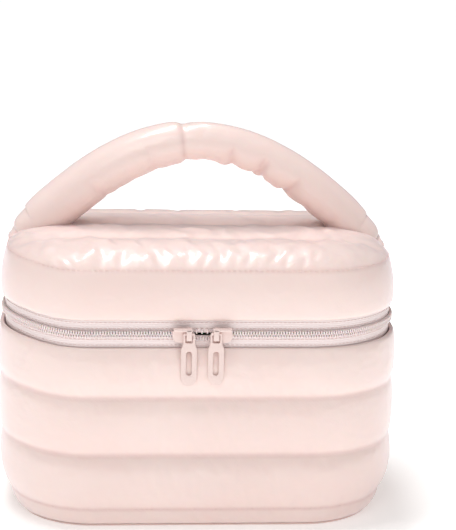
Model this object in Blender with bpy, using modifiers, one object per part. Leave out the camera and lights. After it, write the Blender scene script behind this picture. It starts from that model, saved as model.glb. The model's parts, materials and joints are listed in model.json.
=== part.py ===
"""Padded makeup bag: a quilted box with a zipped, hinged lid, a see-through pocket in the lid and a padded
handle.

The origin is the middle of the flat base. +X runs along the front to the right, +Y to the back
and +Z up. "Inset" is a distance measured inwards from the fullest outline of the bag.
"""

import math

import bmesh
import bpy

for old in list(bpy.data.objects):
    bpy.data.objects.remove(old)

MM = 0.001

# Overall sizes of the padded box.
BAG_WIDTH = 230 * MM
BAG_DEPTH = 150 * MM
CORNER_RADIUS = 55 * MM
CHANNEL_HEIGHTS = (12 * MM, 33.5 * MM, 33.5 * MM, 29 * MM)
ZIP_BAND_HEIGHT = 15 * MM
LID_BAND_HEIGHT = 28 * MM
LID_CROWN = 5.5 * MM
CORNER_STEPS = 6
# The crown reaches its full height this share of the corner radius in from the outline.
LID_CROWN_REACH = 0.78
LID_CROWN_STEPS = 5

# How far behind the fullest outline each quilting seam of the wall lies, from the base up.
SEAM_INSETS = (11 * MM, 7.5 * MM, 3.4 * MM, 3.0 * MM, 3.0 * MM)
CHANNEL_BULGES = (1.0 * MM, 4.5 * MM, 3.2 * MM, 2.8 * MM)
LID_SEAM_INSETS = (3.0 * MM, 6.5 * MM)
LID_BULGE = 4.5 * MM
BULGE_STEPS = 4

# Sheet thicknesses and the gap that separate solids keep.
CLOTH = 0.8 * MM
LINING = 0.8 * MM
BOTTOM_PANEL = 1.2 * MM
BOARD = 2.0 * MM
GAP = 0.3 * MM

# The lining leans in towards the floor of the body and the ceiling of the lid.
LINING_INSET_RIM = 7.6 * MM
LINING_INSET_FLOOR = 15 * MM
LINING_INSET_CEILING = 11.7 * MM
CEILING_DROP = 6.0 * MM
RIM_BINDING_HEIGHT = 1.7 * MM
RIM_BINDING_OVERHANG = 0.3 * MM
RIM_BINDING_TO_SLIDER = 0.78 * MM

# The zip: two tapes, each with half a coil, and a fabric hinge where the tapes stop.
TAPE = 0.5 * MM
TAPE_HIDDEN = 5 * MM
TAPE_INSET = 4.3 * MM
COIL_THICK = 1.8 * MM
COIL_WIDE = 2.0 * MM
COIL_EDGE_CUT = 0.45 * MM
COIL_PARTING = 1.2 * MM
HINGE_WIDTH = 102 * MM
HINGE_STRIP = 0.8 * MM
HINGE_PAST_COIL = 0.2 * MM
END_TAB_WIDTH = 9 * MM
END_TAB_HEIGHT = 18 * MM
END_TAB_THICK = 0.8 * MM

# One zip slider and its pull, in the slider's own frame: X along the zip, out of the bag, and up.
SLIDER_LENGTH = 11.5 * MM
SLIDER_HEIGHT = 9 * MM
FRONT_PLATE = 1.1 * MM
BACK_PLATE = 0.9 * MM
RUNNING_GAP = 0.35 * MM
POST_WIDTH = 2.0 * MM
POST_THICK = 0.6 * MM
POST_FROM_NOSE = 0.3 * MM
CROWN_WALL = 1.0 * MM
CROWN_BAR_BOTTOM = 2.9 * MM
CROWN_BAR_TOP = 4.4 * MM
STRAP_WIDTH = 3.0 * MM
STRAP_FOOT_BOTTOM = -2.2 * MM
STRAP_FOOT_TOP = -0.9 * MM
STRAP_OFFSET = 3.4 * MM
PULL_THICK = 1.4 * MM
PULL_PIVOT = 1.2 * MM
PULL_BAR_HALF = 0.65 * MM
PULL_LENGTH = 30 * MM
PULL_WIDTH = 8.8 * MM
PULL_NECK_WIDTH = 6.4 * MM
PULL_NECK_LENGTH = 6.5 * MM
PULL_EYE_WIDTH = 4.2 * MM
PULL_EYE_HEIGHT = 4.2 * MM
PULL_SLOT_WIDTH = 3.1 * MM
PULL_SLOT_TOP = 10.3 * MM
PULL_SLOT_BOTTOM = 24.6 * MM
PULL_TO_BULGE = 0.15 * MM
PULL_SPACING = 14.8 * MM
ROUND_END_STEPS = 10
CHAMFER_END_STEPS = 3

# The zipped pocket under the lid's ceiling; its zip is a smaller copy of the main one.
POCKET_ZIP_SCALE = 0.62
POCKET_INSET = 19 * MM
POCKET_SHEET = 0.5 * MM
POCKET_ZIP_FROM_EDGE = 6 * MM
POCKET_TAPE_WIDTH = 5.6 * MM
POCKET_HEADER_DEPTH = 20 * MM
POCKET_BINDING_WIDTH = 2.7 * MM
POCKET_BINDING_HEIGHT = 1.7 * MM
POCKET_COIL_END = 10 * MM
POCKET_SLIDER_END = 14 * MM
POCKET_PULL_SHARE = 0.7

# The handle is a padded tube, pinched where its ends are sewn into the lid's top seam.
HANDLE_HALF_SPAN = BAG_WIDTH / 2 - 20 * MM
HANDLE_PIVOT_RISE = 10 * MM
HANDLE_RISE = 50 * MM
HANDLE_RADIUS = 11.5 * MM
HANDLE_END_RADIUS = 6.5 * MM
HANDLE_TAPER_POWER = 6
HANDLE_CORE_SHORTER = 0.985
HANDLE_STEPS = 20
HANDLE_END_WIDTH = 18 * MM
HANDLE_END_CLEARANCE = 1.3 * MM
HANDLE_END_THICK = 3.4 * MM

# Levels that follow from the sizes above.
SEAM_LEVELS = [sum(CHANNEL_HEIGHTS[:count]) for count in range(len(CHANNEL_HEIGHTS) + 1)]
ZIP_BOTTOM = SEAM_LEVELS[-1]
ZIP_TOP = ZIP_BOTTOM + ZIP_BAND_HEIGHT
ZIP_CENTRE = (ZIP_BOTTOM + ZIP_TOP) / 2
LID_SEAM = ZIP_TOP + LID_BAND_HEIGHT
CEILING = LID_SEAM - CEILING_DROP
SHELL_BOTTOM = BOTTOM_PANEL + GAP
BOARD_TOP = SHELL_BOTTOM + BOARD
FLOOR_BOTTOM = BOARD_TOP + GAP
FLOOR_TOP = FLOOR_BOTTOM + LINING
BINDING_BODY_TOP = ZIP_CENTRE - SLIDER_HEIGHT / 2 - RIM_BINDING_TO_SLIDER
BINDING_LID_BOTTOM = ZIP_CENTRE + SLIDER_HEIGHT / 2 + RIM_BINDING_TO_SLIDER
BODY_RIM = BINDING_BODY_TOP - RIM_BINDING_HEIGHT - GAP
LID_RIM = BINDING_LID_BOTTOM + RIM_BINDING_HEIGHT + GAP
TAPE_BACK = TAPE_INSET + TAPE
HINGE_Y = BAG_DEPTH / 2 - (TAPE_INSET - GAP - COIL_THICK - HINGE_PAST_COIL)
HANDLE_PIVOT = LID_SEAM + HANDLE_PIVOT_RISE

# Each finish is a colour, a roughness, a metallic value and an alpha value.
PINK_CLOTH = ((0.93, 0.72, 0.68), 0.3, 0.0, 1.0)
PINK_TAPE = ((0.92, 0.74, 0.72), 0.6, 0.0, 1.0)
PINK_COIL = ((0.92, 0.74, 0.72), 0.45, 0.0, 1.0)
CREAM_CLOTH = ((0.92, 0.84, 0.70), 0.7, 0.0, 1.0)
CREAM_TAPE = ((0.93, 0.88, 0.80), 0.7, 0.0, 1.0)
PEACH_CLOTH = ((0.93, 0.80, 0.65), 0.7, 0.0, 1.0)
WHITE_WADDING = ((0.90, 0.90, 0.88), 0.9, 0.0, 1.0)
GREY_BOARD = ((0.45, 0.44, 0.42), 0.6, 0.0, 1.0)
PINK_ENAMEL = ((0.90, 0.74, 0.70), 0.4, 0.6, 1.0)
GOLD_METAL = ((0.72, 0.56, 0.36), 0.35, 0.6, 1.0)
GOLD_COIL = ((0.72, 0.56, 0.36), 0.5, 0.0, 1.0)
CLEAR_FILM = ((0.90, 0.92, 0.90), 0.1, 0.0, 0.35)

scene = bpy.context.scene
parts = bpy.data.collections.new("makeup_bag")
guides = bpy.data.collections.new("guides")
scene.collection.children.link(parts)
scene.collection.children.link(guides)


def add_part(name, data, finish):
    """A visible sub-part, with a Principled material of its own."""
    colour, roughness, metallic, alpha = finish
    part = bpy.data.objects.new(name, data)
    parts.objects.link(part)
    material = bpy.data.materials.new(name)
    material.use_nodes = True
    shader = material.node_tree.nodes["Principled BSDF"]
    shader.inputs["Base Color"].default_value = (*colour, 1.0)
    shader.inputs["Roughness"].default_value = roughness
    shader.inputs["Metallic"].default_value = metallic
    shader.inputs["Alpha"].default_value = alpha
    data.materials.append(material)
    return part


def add_guide(name, data):
    """A profile, cutter or filler that shapes a part and is not one itself."""
    guide = bpy.data.objects.new(name, data)
    guides.objects.link(guide)
    guide.hide_render = True
    guide.display_type = "WIRE"
    return guide


def flat_curve(name, *loops, closed=True):
    """A 2D curve with one straight-sided spline for each loop of points."""
    curve = bpy.data.curves.new(name, "CURVE")
    curve.dimensions = "2D"
    for loop in loops:
        spline = curve.splines.new("POLY")
        spline.points.add(len(loop) - 1)
        for point, (across, along) in zip(spline.points, loop):
            point.co = (across, along, 0, 1)
        spline.use_cyclic_u = closed
    return curve


def outline(inset):
    """The bag's plan, a rectangle with round corners, anticlockwise from the right-hand side."""
    points = []
    for quarter, (side_x, side_y) in enumerate(((1, 1), (-1, 1), (-1, -1), (1, -1))):
        centre_x = side_x * (BAG_WIDTH / 2 - CORNER_RADIUS)
        centre_y = side_y * (BAG_DEPTH / 2 - CORNER_RADIUS)
        for step in range(CORNER_STEPS + 1):
            angle = math.radians(90 * (quarter + step / CORNER_STEPS))
            radius = CORNER_RADIUS - inset
            points.append((centre_x + radius * math.cos(angle), centre_y + radius * math.sin(angle)))
    return points


def half_width(inset, y):
    """How far the plan reaches to the side at a given Y."""
    side = sorted((along, across) for across, along in outline(inset) if across > 0)
    for (y_a, x_a), (y_b, x_b) in zip(side, side[1:]):
        if y_a <= y <= y_b and y_b > y_a:
            return x_a + (x_b - x_a) * (y - y_a) / (y_b - y_a)
    return side[0][1]


def outline_slice(inset, front, back, steps=8):
    """The part of the plan between two values of Y."""
    rows = [front + (back - front) * step / steps for step in range(steps + 1)]
    right = [(half_width(inset, y), y) for y in rows]
    left = [(-x, y) for x, y in reversed(right)]
    return right + left


def band(name, profile, finish, closed=True):
    """A profile of (inset, height) points, listed clockwise, carried round the bag's outline.

    An open band leaves out the width of the fabric hinge at the back.
    """
    path = outline(0)
    if not closed:
        corner_points = CORNER_STEPS + 1
        right_end = (HINGE_WIDTH / 2 + GAP, BAG_DEPTH / 2)
        left_end = (-HINGE_WIDTH / 2 - GAP, BAG_DEPTH / 2)
        path = [right_end, *reversed(path[:corner_points]), *reversed(path[corner_points:]), left_end]
    curve = flat_curve(name, path, closed=closed)
    curve.bevel_mode = "OBJECT"
    curve.bevel_object = add_guide(name + "_profile", flat_curve(name + "_profile", profile))
    curve.use_fill_caps = True
    return add_part(name, curve, finish)


def plate(name, loops, bottom, top, finish):
    """A flat outline, with any holes, between two levels."""
    curve = flat_curve(name, *loops)
    curve.fill_mode = "BOTH"
    curve.extrude = (top - bottom) / 2
    part = add_part(name, curve, finish)
    part.location.z = (bottom + top) / 2
    return part


def block(name, low, high):
    """A box mesh between two corners."""
    mesh = bpy.data.meshes.new(name)
    solid = bmesh.new()
    bmesh.ops.create_cube(solid, size=1)
    for vertex in solid.verts:
        vertex.co = [
            (start + end) / 2 + side * (end - start) for start, end, side in zip(low, high, vertex.co)
        ]
    solid.to_mesh(mesh)
    solid.free()
    return mesh


def puffed(lower, upper, bulge, steps):
    """Points of one padded channel from one seam to the next, without the last."""
    points = []
    for step in range(steps):
        share = step / steps
        inset = lower[0] + (upper[0] - lower[0]) * share
        height = lower[1] + (upper[1] - lower[1]) * share
        points.append((inset - bulge * 4 * share * (1 - share), height))
    return points


def quilted_line(insets, levels, bulges):
    """The outer line of a quilted wall, from its lowest seam to its highest."""
    line = []
    for index, bulge in enumerate(bulges):
        line += puffed(
            (insets[index], levels[index]), (insets[index + 1], levels[index + 1]), bulge, BULGE_STEPS
        )
    line.append((insets[-1], levels[-1]))
    return line


def moved_in(line, distance):
    return [(inset + distance, height) for inset, height in line]


def inset_at(line, height):
    """The inset of a line of (inset, height) points at a height, the points going up."""
    for (inset_a, height_a), (inset_b, height_b) in zip(line, line[1:]):
        if height <= height_b:
            share = (height - height_a) / (height_b - height_a)
            return inset_a + (inset_b - inset_a) * max(0, share)
    return line[-1][0]


def between(line, bottom, top):
    """The stretch of a line between two heights, with its ends cut there."""
    inner = [point for point in line if bottom < point[1] < top]
    return [(inset_at(line, bottom), bottom), *inner, (inset_at(line, top), top)]


def dome_mesh(name, inset, level, crown, full_at):
    """A crowned top: the outline is inset step by step and each ring is lifted a little more."""
    solid = bmesh.new()
    corners = [solid.verts.new((x, y, level)) for x, y in outline(inset)]
    top = solid.faces.new(corners)
    width = (full_at - inset) / LID_CROWN_STEPS
    lifts = [math.sin(math.pi / 2 * step / LID_CROWN_STEPS) for step in range(LID_CROWN_STEPS + 1)]
    for lift_before, lift in zip(lifts, lifts[1:]):
        solid.normal_update()
        bmesh.ops.inset_region(
            solid, faces=[top], thickness=width, use_boundary=True, use_even_offset=True
        )
        for vertex in top.verts:
            vertex.co.z += crown * (lift - lift_before)
    mesh = bpy.data.meshes.new(name)
    solid.to_mesh(mesh)
    solid.free()
    mesh.shade_smooth()
    return mesh


# ---- Body: outer shell, wadding, lining, base ----

body_line = quilted_line(SEAM_INSETS, [SHELL_BOTTOM, *SEAM_LEVELS[1:]], CHANNEL_BULGES)
lining_line = [(LINING_INSET_FLOOR, FLOOR_TOP + GAP), (LINING_INSET_RIM, BODY_RIM)]


def wall_lining_inset(height):
    share = (BODY_RIM - height) / (BODY_RIM - FLOOR_TOP - GAP)
    return LINING_INSET_RIM + (LINING_INSET_FLOOR - LINING_INSET_RIM) * share


band("body_shell", body_line + moved_in(body_line, CLOTH)[::-1], PINK_CLOTH)

tape_bottom = ZIP_BOTTOM - TAPE_HIDDEN
wadding_bottom = FLOOR_BOTTOM
body_wadding_outer = between(moved_in(body_line, CLOTH + GAP), wadding_bottom, tape_bottom - GAP)
body_wadding_profile = [
    *body_wadding_outer,
    (TAPE_BACK + GAP, tape_bottom - GAP),
    (TAPE_BACK + GAP, BODY_RIM),
    (LINING_INSET_RIM - GAP, BODY_RIM),
    (wall_lining_inset(wadding_bottom) - GAP, wadding_bottom),
]
band("body_wadding", body_wadding_profile, WHITE_WADDING)

body_lining_profile = [*lining_line, *moved_in(lining_line, LINING)[::-1]]
band("body_lining_wall", body_lining_profile, CREAM_CLOTH)

binding_outer = TAPE_BACK + GAP
binding_inner = LINING_INSET_RIM + LINING + RIM_BINDING_OVERHANG
body_binding_profile = [
    (binding_outer, BODY_RIM + GAP),
    (binding_outer, BINDING_BODY_TOP),
    (binding_inner, BINDING_BODY_TOP),
    (binding_inner, BODY_RIM + GAP),
]
band("body_rim_binding", body_binding_profile, CREAM_TAPE)

bottom_inset = SEAM_INSETS[0] - GAP
plate("bottom_panel", [outline(bottom_inset)], 0, BOTTOM_PANEL, PINK_CLOTH)
board_inset = SEAM_INSETS[0] + CLOTH + GAP
plate("base_board", [outline(board_inset)], SHELL_BOTTOM, BOARD_TOP, GREY_BOARD)
plate("body_lining_floor", [outline(LINING_INSET_FLOOR)], FLOOR_BOTTOM, FLOOR_TOP, CREAM_CLOTH)

# ---- Lid: quilted band, crowned top, wadding, lining ----

lid_line = quilted_line(LID_SEAM_INSETS, [ZIP_TOP, LID_SEAM], [LID_BULGE])
band("lid_band", lid_line + moved_in(lid_line, CLOTH)[::-1], PINK_CLOTH)

top_inset = LID_SEAM_INSETS[1] + CLOTH + GAP
dome_full = CORNER_RADIUS * LID_CROWN_REACH
lid_top_panel = add_part(
    "lid_top_panel", dome_mesh("lid_top_panel", top_inset, LID_SEAM, LID_CROWN, dome_full), PINK_CLOTH
)
thicken = lid_top_panel.modifiers.new("cloth", "SOLIDIFY")
thicken.thickness = CLOTH
thicken.offset = -1

tape_top = ZIP_TOP + TAPE_HIDDEN
lid_wadding_top = LID_SEAM - 2 * GAP - CLOTH
lid_wadding_outer = between(moved_in(lid_line, CLOTH + GAP), tape_top + GAP, lid_wadding_top)
lid_wadding_profile = [
    (TAPE_BACK + GAP, LID_RIM),
    (TAPE_BACK + GAP, tape_top + GAP),
    *lid_wadding_outer,
    (LINING_INSET_CEILING - GAP, lid_wadding_top),
    (LINING_INSET_CEILING - GAP, CEILING),
    (LINING_INSET_RIM - GAP, LID_RIM),
]
band("lid_wadding", lid_wadding_profile, WHITE_WADDING)

lid_lining_line = [(LINING_INSET_RIM, LID_RIM), (LINING_INSET_CEILING, CEILING - GAP)]
band("lid_lining_wall", [*lid_lining_line, *moved_in(lid_lining_line, LINING)[::-1]], CREAM_CLOTH)
plate("lid_lining_top", [outline(LINING_INSET_CEILING)], CEILING, CEILING + LINING, CREAM_CLOTH)

lid_binding_profile = [
    (binding_outer, BINDING_LID_BOTTOM),
    (binding_outer, LID_RIM - GAP),
    (binding_inner, LID_RIM - GAP),
    (binding_inner, BINDING_LID_BOTTOM),
]
band("lid_rim_binding", lid_binding_profile, CREAM_TAPE)

# The top wadding fills the space between the ceiling lining and the crowned panel.
wadding_base = CEILING + LINING + GAP
wadding_rim = LID_SEAM - CLOTH - GAP
top_wadding_mesh = dome_mesh("lid_top_wadding", LINING_INSET_CEILING, wadding_rim, LID_CROWN, dome_full)
lid_top_wadding = add_part("lid_top_wadding", top_wadding_mesh, WHITE_WADDING)
filler = bmesh.new()
filler.from_mesh(top_wadding_mesh)
rim_edges = [edge for edge in filler.edges if edge.is_boundary]
lowered = bmesh.ops.extrude_edge_only(filler, edges=rim_edges)["geom"]
bottom_verts = [item for item in lowered if isinstance(item, bmesh.types.BMVert)]
for vertex in bottom_verts:
    vertex.co.z = wadding_base
bmesh.ops.contextual_create(filler, geom=bottom_verts)
bmesh.ops.recalc_face_normals(filler, faces=filler.faces)
filler.to_mesh(top_wadding_mesh)
filler.free()

# ---- Zip tapes, coils, fabric hinge and the tabs over the zip's ends ----


def upright_strip(inset, thick, bottom, top):
    return [(inset, bottom), (inset, top), (inset + thick, top), (inset + thick, bottom)]


def coil_profile(bottom, top):
    """Half a coil in section, with its outer edges taken off."""
    front = TAPE_INSET - GAP - COIL_THICK
    back = TAPE_INSET - GAP
    return [
        (front, bottom + COIL_EDGE_CUT),
        (front, top - COIL_EDGE_CUT),
        (front + COIL_EDGE_CUT, top),
        (back, top),
        (back, bottom),
        (front + COIL_EDGE_CUT, bottom),
    ]


coil_low = ZIP_CENTRE - COIL_PARTING / 2
coil_high = ZIP_CENTRE + COIL_PARTING / 2
band("zip_tape_lower", upright_strip(TAPE_INSET, TAPE, tape_bottom, coil_low), PINK_TAPE, closed=False)
band("zip_tape_upper", upright_strip(TAPE_INSET, TAPE, coil_high, tape_top), PINK_TAPE, closed=False)
band("zip_coil_lower", coil_profile(coil_low - COIL_WIDE, coil_low), PINK_COIL, closed=False)
band("zip_coil_upper", coil_profile(coil_high, coil_high + COIL_WIDE), PINK_COIL, closed=False)

# The hinge line lies just outside the coils, so that the two halves part as the lid opens.
hinge_outer = HINGE_Y
hinge_inner = HINGE_Y - HINGE_STRIP
hinge_half = HINGE_WIDTH / 2 - GAP
add_part(
    "hinge_strip_lower",
    block(
        "hinge_strip_lower",
        (-hinge_half, hinge_inner, ZIP_BOTTOM + GAP),
        (hinge_half, hinge_outer, ZIP_CENTRE - GAP / 2),
    ),
    PINK_CLOTH,
)
add_part(
    "hinge_strip_upper",
    block(
        "hinge_strip_upper",
        (-hinge_half, hinge_inner, ZIP_CENTRE + GAP / 2),
        (hinge_half, hinge_outer, ZIP_TOP - GAP),
    ),
    PINK_CLOTH,
)

tab_rim_y = BAG_DEPTH / 2 - wall_lining_inset(BODY_RIM - END_TAB_HEIGHT) - LINING - GAP
tab_top = BODY_RIM - GAP
for side_name, side in (("left", -1), ("right", 1)):
    near = side * HINGE_WIDTH / 2
    far = side * (HINGE_WIDTH / 2 + END_TAB_WIDTH)
    name = "zip_end_tab_" + side_name
    tab = block(
        name,
        (min(near, far), tab_rim_y - END_TAB_THICK, tab_top - END_TAB_HEIGHT),
        (max(near, far), tab_rim_y, tab_top),
    )
    add_part(name, tab, CREAM_TAPE)

# ---- Sliders and pulls ----


def slider(name, scale, mouth, pull_out, finish):
    """A slider: two plates round the coils, the post between the coil halves, and the crown.

    Its frame has -Y out of the zip and its origin on the tape's outer face, at the zip's centre
    line. The mouth is +1 or -1, the end where the coils part.
    """
    coil_out = GAP + COIL_THICK
    plate_low = coil_out + RUNNING_GAP
    plate_high = plate_low + FRONT_PLATE
    crown_out = pull_out / scale + PULL_THICK / 2 + RUNNING_GAP + CROWN_WALL
    half = SLIDER_LENGTH / 2
    height = SLIDER_HEIGHT / 2
    nose = half - POST_FROM_NOSE
    strap_low = mouth * STRAP_OFFSET - STRAP_WIDTH / 2
    strap_high = mouth * STRAP_OFFSET + STRAP_WIDTH / 2
    post_ends = sorted((mouth * (nose - POST_WIDTH), mouth * nose))
    back_out = TAPE + RUNNING_GAP
    pieces = [
        ((-half, -plate_high, -height), (half, -plate_low, height)),
        ((-half, back_out, -height), (half, back_out + BACK_PLATE, height)),
        (
            (post_ends[0], -plate_low - FRONT_PLATE / 2, -POST_THICK / 2),
            (post_ends[1], back_out + BACK_PLATE / 2, POST_THICK / 2),
        ),
        (
            (-half + GAP, -crown_out, CROWN_BAR_BOTTOM),
            (half - GAP, -plate_low - FRONT_PLATE / 2, CROWN_BAR_TOP),
        ),
        (
            (strap_low, -crown_out, STRAP_FOOT_BOTTOM),
            (strap_high, -crown_out + CROWN_WALL, CROWN_BAR_TOP - GAP),
        ),
        (
            (strap_low, -crown_out + CROWN_WALL / 2, STRAP_FOOT_BOTTOM),
            (strap_high, -plate_low - FRONT_PLATE / 2, STRAP_FOOT_TOP),
        ),
    ]
    meshes = [
        block(name, [value * scale for value in low], [value * scale for value in high])
        for low, high in pieces
    ]
    part = add_part(name, meshes[0], finish)
    fillers = []
    for index, mesh in enumerate(meshes[1:]):
        piece = add_guide(f"{name}_piece_{index}", mesh)
        union = part.modifiers.new(f"piece_{index}", "BOOLEAN")
        union.operation = "UNION"
        union.object = piece
        fillers.append(piece)
    return part, fillers


def rounded_slot(width, top, bottom, steps=6):
    """A slot with round ends, in the pull's frame."""
    radius = width / 2
    points = []
    for centre, start in ((-top - radius, 0), (-bottom + radius, 180)):
        for step in range(steps + 1):
            angle = math.radians(start + 180 * step / steps)
            points.append((radius * math.cos(angle), centre + radius * math.sin(angle)))
    return points


def pull(name, scale, length_share, end_steps, finish):
    """A flat pull hanging from its eye: it turns on the bar above the eye, which is at its origin."""
    top = PULL_BAR_HALF
    length = PULL_LENGTH * length_share
    slot_bottom = PULL_SLOT_BOTTOM - (PULL_LENGTH - length)
    half_neck = PULL_NECK_WIDTH / 2
    half_wide = PULL_WIDTH / 2
    shoulder = half_wide - half_neck
    end_centre = top - length + half_wide
    outer = [(half_neck, top), (-half_neck, top), (-half_neck, top - PULL_NECK_LENGTH)]
    outer.append((-half_wide, top - PULL_NECK_LENGTH - 2 * shoulder))
    for step in range(end_steps + 1):
        angle = math.radians(180 + 180 * step / end_steps)
        outer.append((half_wide * math.cos(angle), end_centre + half_wide * math.sin(angle)))
    outer.append((half_wide, top - PULL_NECK_LENGTH - 2 * shoulder))
    outer.append((half_neck, top - PULL_NECK_LENGTH))
    half_eye = PULL_EYE_WIDTH / 2
    eye_top = -PULL_BAR_HALF
    eye_bottom = eye_top - PULL_EYE_HEIGHT
    eye = [(half_eye, eye_top), (-half_eye, eye_top), (-half_eye, eye_bottom), (half_eye, eye_bottom)]
    slot = rounded_slot(PULL_SLOT_WIDTH, PULL_SLOT_TOP - top, slot_bottom - top)
    loops = [[(across * scale, up * scale) for across, up in loop] for loop in (outer, eye, slot)]
    curve = flat_curve(name, *loops)
    curve.fill_mode = "BOTH"
    curve.extrude = PULL_THICK * scale / 2
    part = add_part(name, curve, finish)
    part.rotation_euler.x = math.radians(90)
    return part


def joint_frame(name, location):
    """An empty on a joint's axis, which carries the pieces that move with it."""
    frame = bpy.data.objects.new(name, None)
    frame.empty_display_size = 5 * MM
    frame.location = location
    parts.objects.link(frame)
    return frame


def carry(parent, *children):
    """Parents pieces to a joint's frame and leaves them where they are."""
    base = world_place(parent)
    for child in children:
        child.parent = parent
        child.location = [value - start for value, start in zip(child.location, base)]


def world_place(frame):
    place = list(frame.location)
    while frame.parent:
        frame = frame.parent
        place = [value + start for value, start in zip(place, frame.location)]
    return place


pull_out = TAPE_INSET + PULL_TO_BULGE + PULL_THICK / 2
tape_y = -BAG_DEPTH / 2 + TAPE_INSET
pull_y = tape_y - pull_out
slider_frames = {}
for side_name, side, end_steps in (("left", -1, ROUND_END_STEPS), ("right", 1, CHAMFER_END_STEPS)):
    slider_x = side * (PULL_SPACING / 2 + STRAP_OFFSET)
    pull_x = side * PULL_SPACING / 2
    slide_frame = joint_frame("slide_frame_" + side_name, (slider_x, tape_y, ZIP_CENTRE))
    body, fillers = slider("slider_" + side_name, 1, -side, pull_out, PINK_ENAMEL)
    hanging = pull("pull_" + side_name, 1, 1, end_steps, PINK_ENAMEL)
    pull_frame = joint_frame("pull_frame_" + side_name, (pull_x, pull_y, ZIP_CENTRE + PULL_PIVOT))
    for piece in (body, *fillers):
        piece.location = slide_frame.location
    hanging.location = pull_frame.location
    carry(slide_frame, body, *fillers, pull_frame)
    carry(pull_frame, hanging)

# ---- The pocket under the lid's ceiling ----

zip_scale = POCKET_ZIP_SCALE
back_reach = (TAPE + RUNNING_GAP + BACK_PLATE) * zip_scale
sheet_low = CEILING - GAP - back_reach
pocket_front = -BAG_DEPTH / 2 + POCKET_INSET
pocket_back = BAG_DEPTH / 2 - POCKET_INSET
pocket_zip_y = pocket_front + POCKET_ZIP_FROM_EDGE
pocket_parting = COIL_PARTING * zip_scale / 2
header_front = pocket_zip_y + POCKET_TAPE_WIDTH
header_back = header_front + POCKET_HEADER_DEPTH
tape_high = sheet_low + TAPE * zip_scale
pocket_parts = [
    plate(
        "pocket_tape_front",
        [outline_slice(POCKET_INSET, pocket_front + GAP, pocket_zip_y - pocket_parting)],
        sheet_low,
        tape_high,
        CREAM_TAPE,
    ),
    plate(
        "pocket_tape_rear",
        [outline_slice(POCKET_INSET, pocket_zip_y + pocket_parting, header_front - GAP)],
        sheet_low,
        tape_high,
        CREAM_TAPE,
    ),
    plate(
        "pocket_header",
        [outline_slice(POCKET_INSET, header_front, header_back - GAP)],
        sheet_low,
        sheet_low + POCKET_SHEET,
        PEACH_CLOTH,
    ),
    plate(
        "pocket_window",
        [outline_slice(POCKET_INSET, header_back, pocket_back - GAP, steps=14)],
        sheet_low,
        sheet_low + POCKET_SHEET,
        CLEAR_FILM,
    ),
]
pocket_coil_half = half_width(POCKET_INSET, pocket_zip_y) - POCKET_COIL_END
coil_top = sheet_low - GAP * zip_scale
coil_bottom = coil_top - COIL_THICK * zip_scale
for place, direction in (("front", -1), ("rear", 1)):
    near = pocket_zip_y + direction * pocket_parting
    far = near + direction * COIL_WIDE * zip_scale
    name = "pocket_coil_" + place
    bar = block(
        name,
        (-pocket_coil_half, min(near, far), coil_bottom),
        (pocket_coil_half, max(near, far), coil_top),
    )
    pocket_parts.append(add_part(name, bar, GOLD_COIL))

binding_low = CEILING - GAP - POCKET_BINDING_HEIGHT
binding_far = POCKET_INSET - GAP
pocket_binding_profile = [
    (binding_far - POCKET_BINDING_WIDTH, binding_low),
    (binding_far - POCKET_BINDING_WIDTH, CEILING - GAP),
    (binding_far, CEILING - GAP),
    (binding_far, binding_low),
]
pocket_parts.append(band("pocket_binding", pocket_binding_profile, PEACH_CLOTH))

pocket_pull_out = pull_out * zip_scale
pocket_slider_x = half_width(POCKET_INSET, pocket_zip_y) - POCKET_SLIDER_END
pocket_pull_x = pocket_slider_x + STRAP_OFFSET * zip_scale
pocket_slide_frame = joint_frame("pocket_slide_frame", (pocket_slider_x, pocket_zip_y, sheet_low))
pocket_pull_place = (
    pocket_pull_x,
    pocket_zip_y - PULL_PIVOT * zip_scale,
    sheet_low - pocket_pull_out,
)
pocket_pull_frame = joint_frame("pocket_pull_frame", pocket_pull_place)
pocket_slider, pocket_fillers = slider(
    "pocket_slider", zip_scale, 1, pocket_pull_out, GOLD_METAL
)
pocket_pull = pull(
    "pocket_pull", zip_scale, POCKET_PULL_SHARE, ROUND_END_STEPS, GOLD_METAL
)
# The pocket's zip faces down, and its pull lies towards the hinge.
for piece in (pocket_slider, *pocket_fillers):
    piece.location = pocket_slide_frame.location
    piece.rotation_euler.x = math.radians(90)
pocket_pull.location = pocket_pull_frame.location
pocket_pull.rotation_euler.x = math.radians(180)

# ---- Handle ----


def handle_points(shorter=1.0):
    """The handle's centre line, a parabola, with the share of its half span at each point."""
    points = []
    for step in range(HANDLE_STEPS + 1):
        share = (2 * step / HANDLE_STEPS - 1) * shorter
        points.append((share * HANDLE_HALF_SPAN, HANDLE_PIVOT + HANDLE_RISE * (1 - share**2), share))
    return points


def handle_tube(name, smaller, shorter, capped, finish):
    """A tube along the handle's centre line that narrows towards both ends."""
    curve = bpy.data.curves.new(name, "CURVE")
    curve.dimensions = "3D"
    spline = curve.splines.new("POLY")
    line = handle_points(shorter)
    spline.points.add(len(line) - 1)
    for point, (across, height, share) in zip(spline.points, line):
        taper = (HANDLE_RADIUS - HANDLE_END_RADIUS) * abs(share) ** HANDLE_TAPER_POWER
        point.co = (across, 0, height, 1)
        point.radius = (HANDLE_RADIUS - taper - smaller) / HANDLE_RADIUS
    curve.bevel_depth = HANDLE_RADIUS
    curve.bevel_resolution = 2
    curve.use_fill_caps = capped
    return add_part(name, curve, finish)


handle_cover = handle_tube("handle_cover", 0, 1, False, PINK_CLOTH)
wall = handle_cover.modifiers.new("cloth", "SOLIDIFY")
wall.thickness = CLOTH
wall.offset = -1
handle_core = handle_tube(
    "handle_core", CLOTH + 2 * GAP, HANDLE_CORE_SHORTER, True, WHITE_WADDING
)

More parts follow.
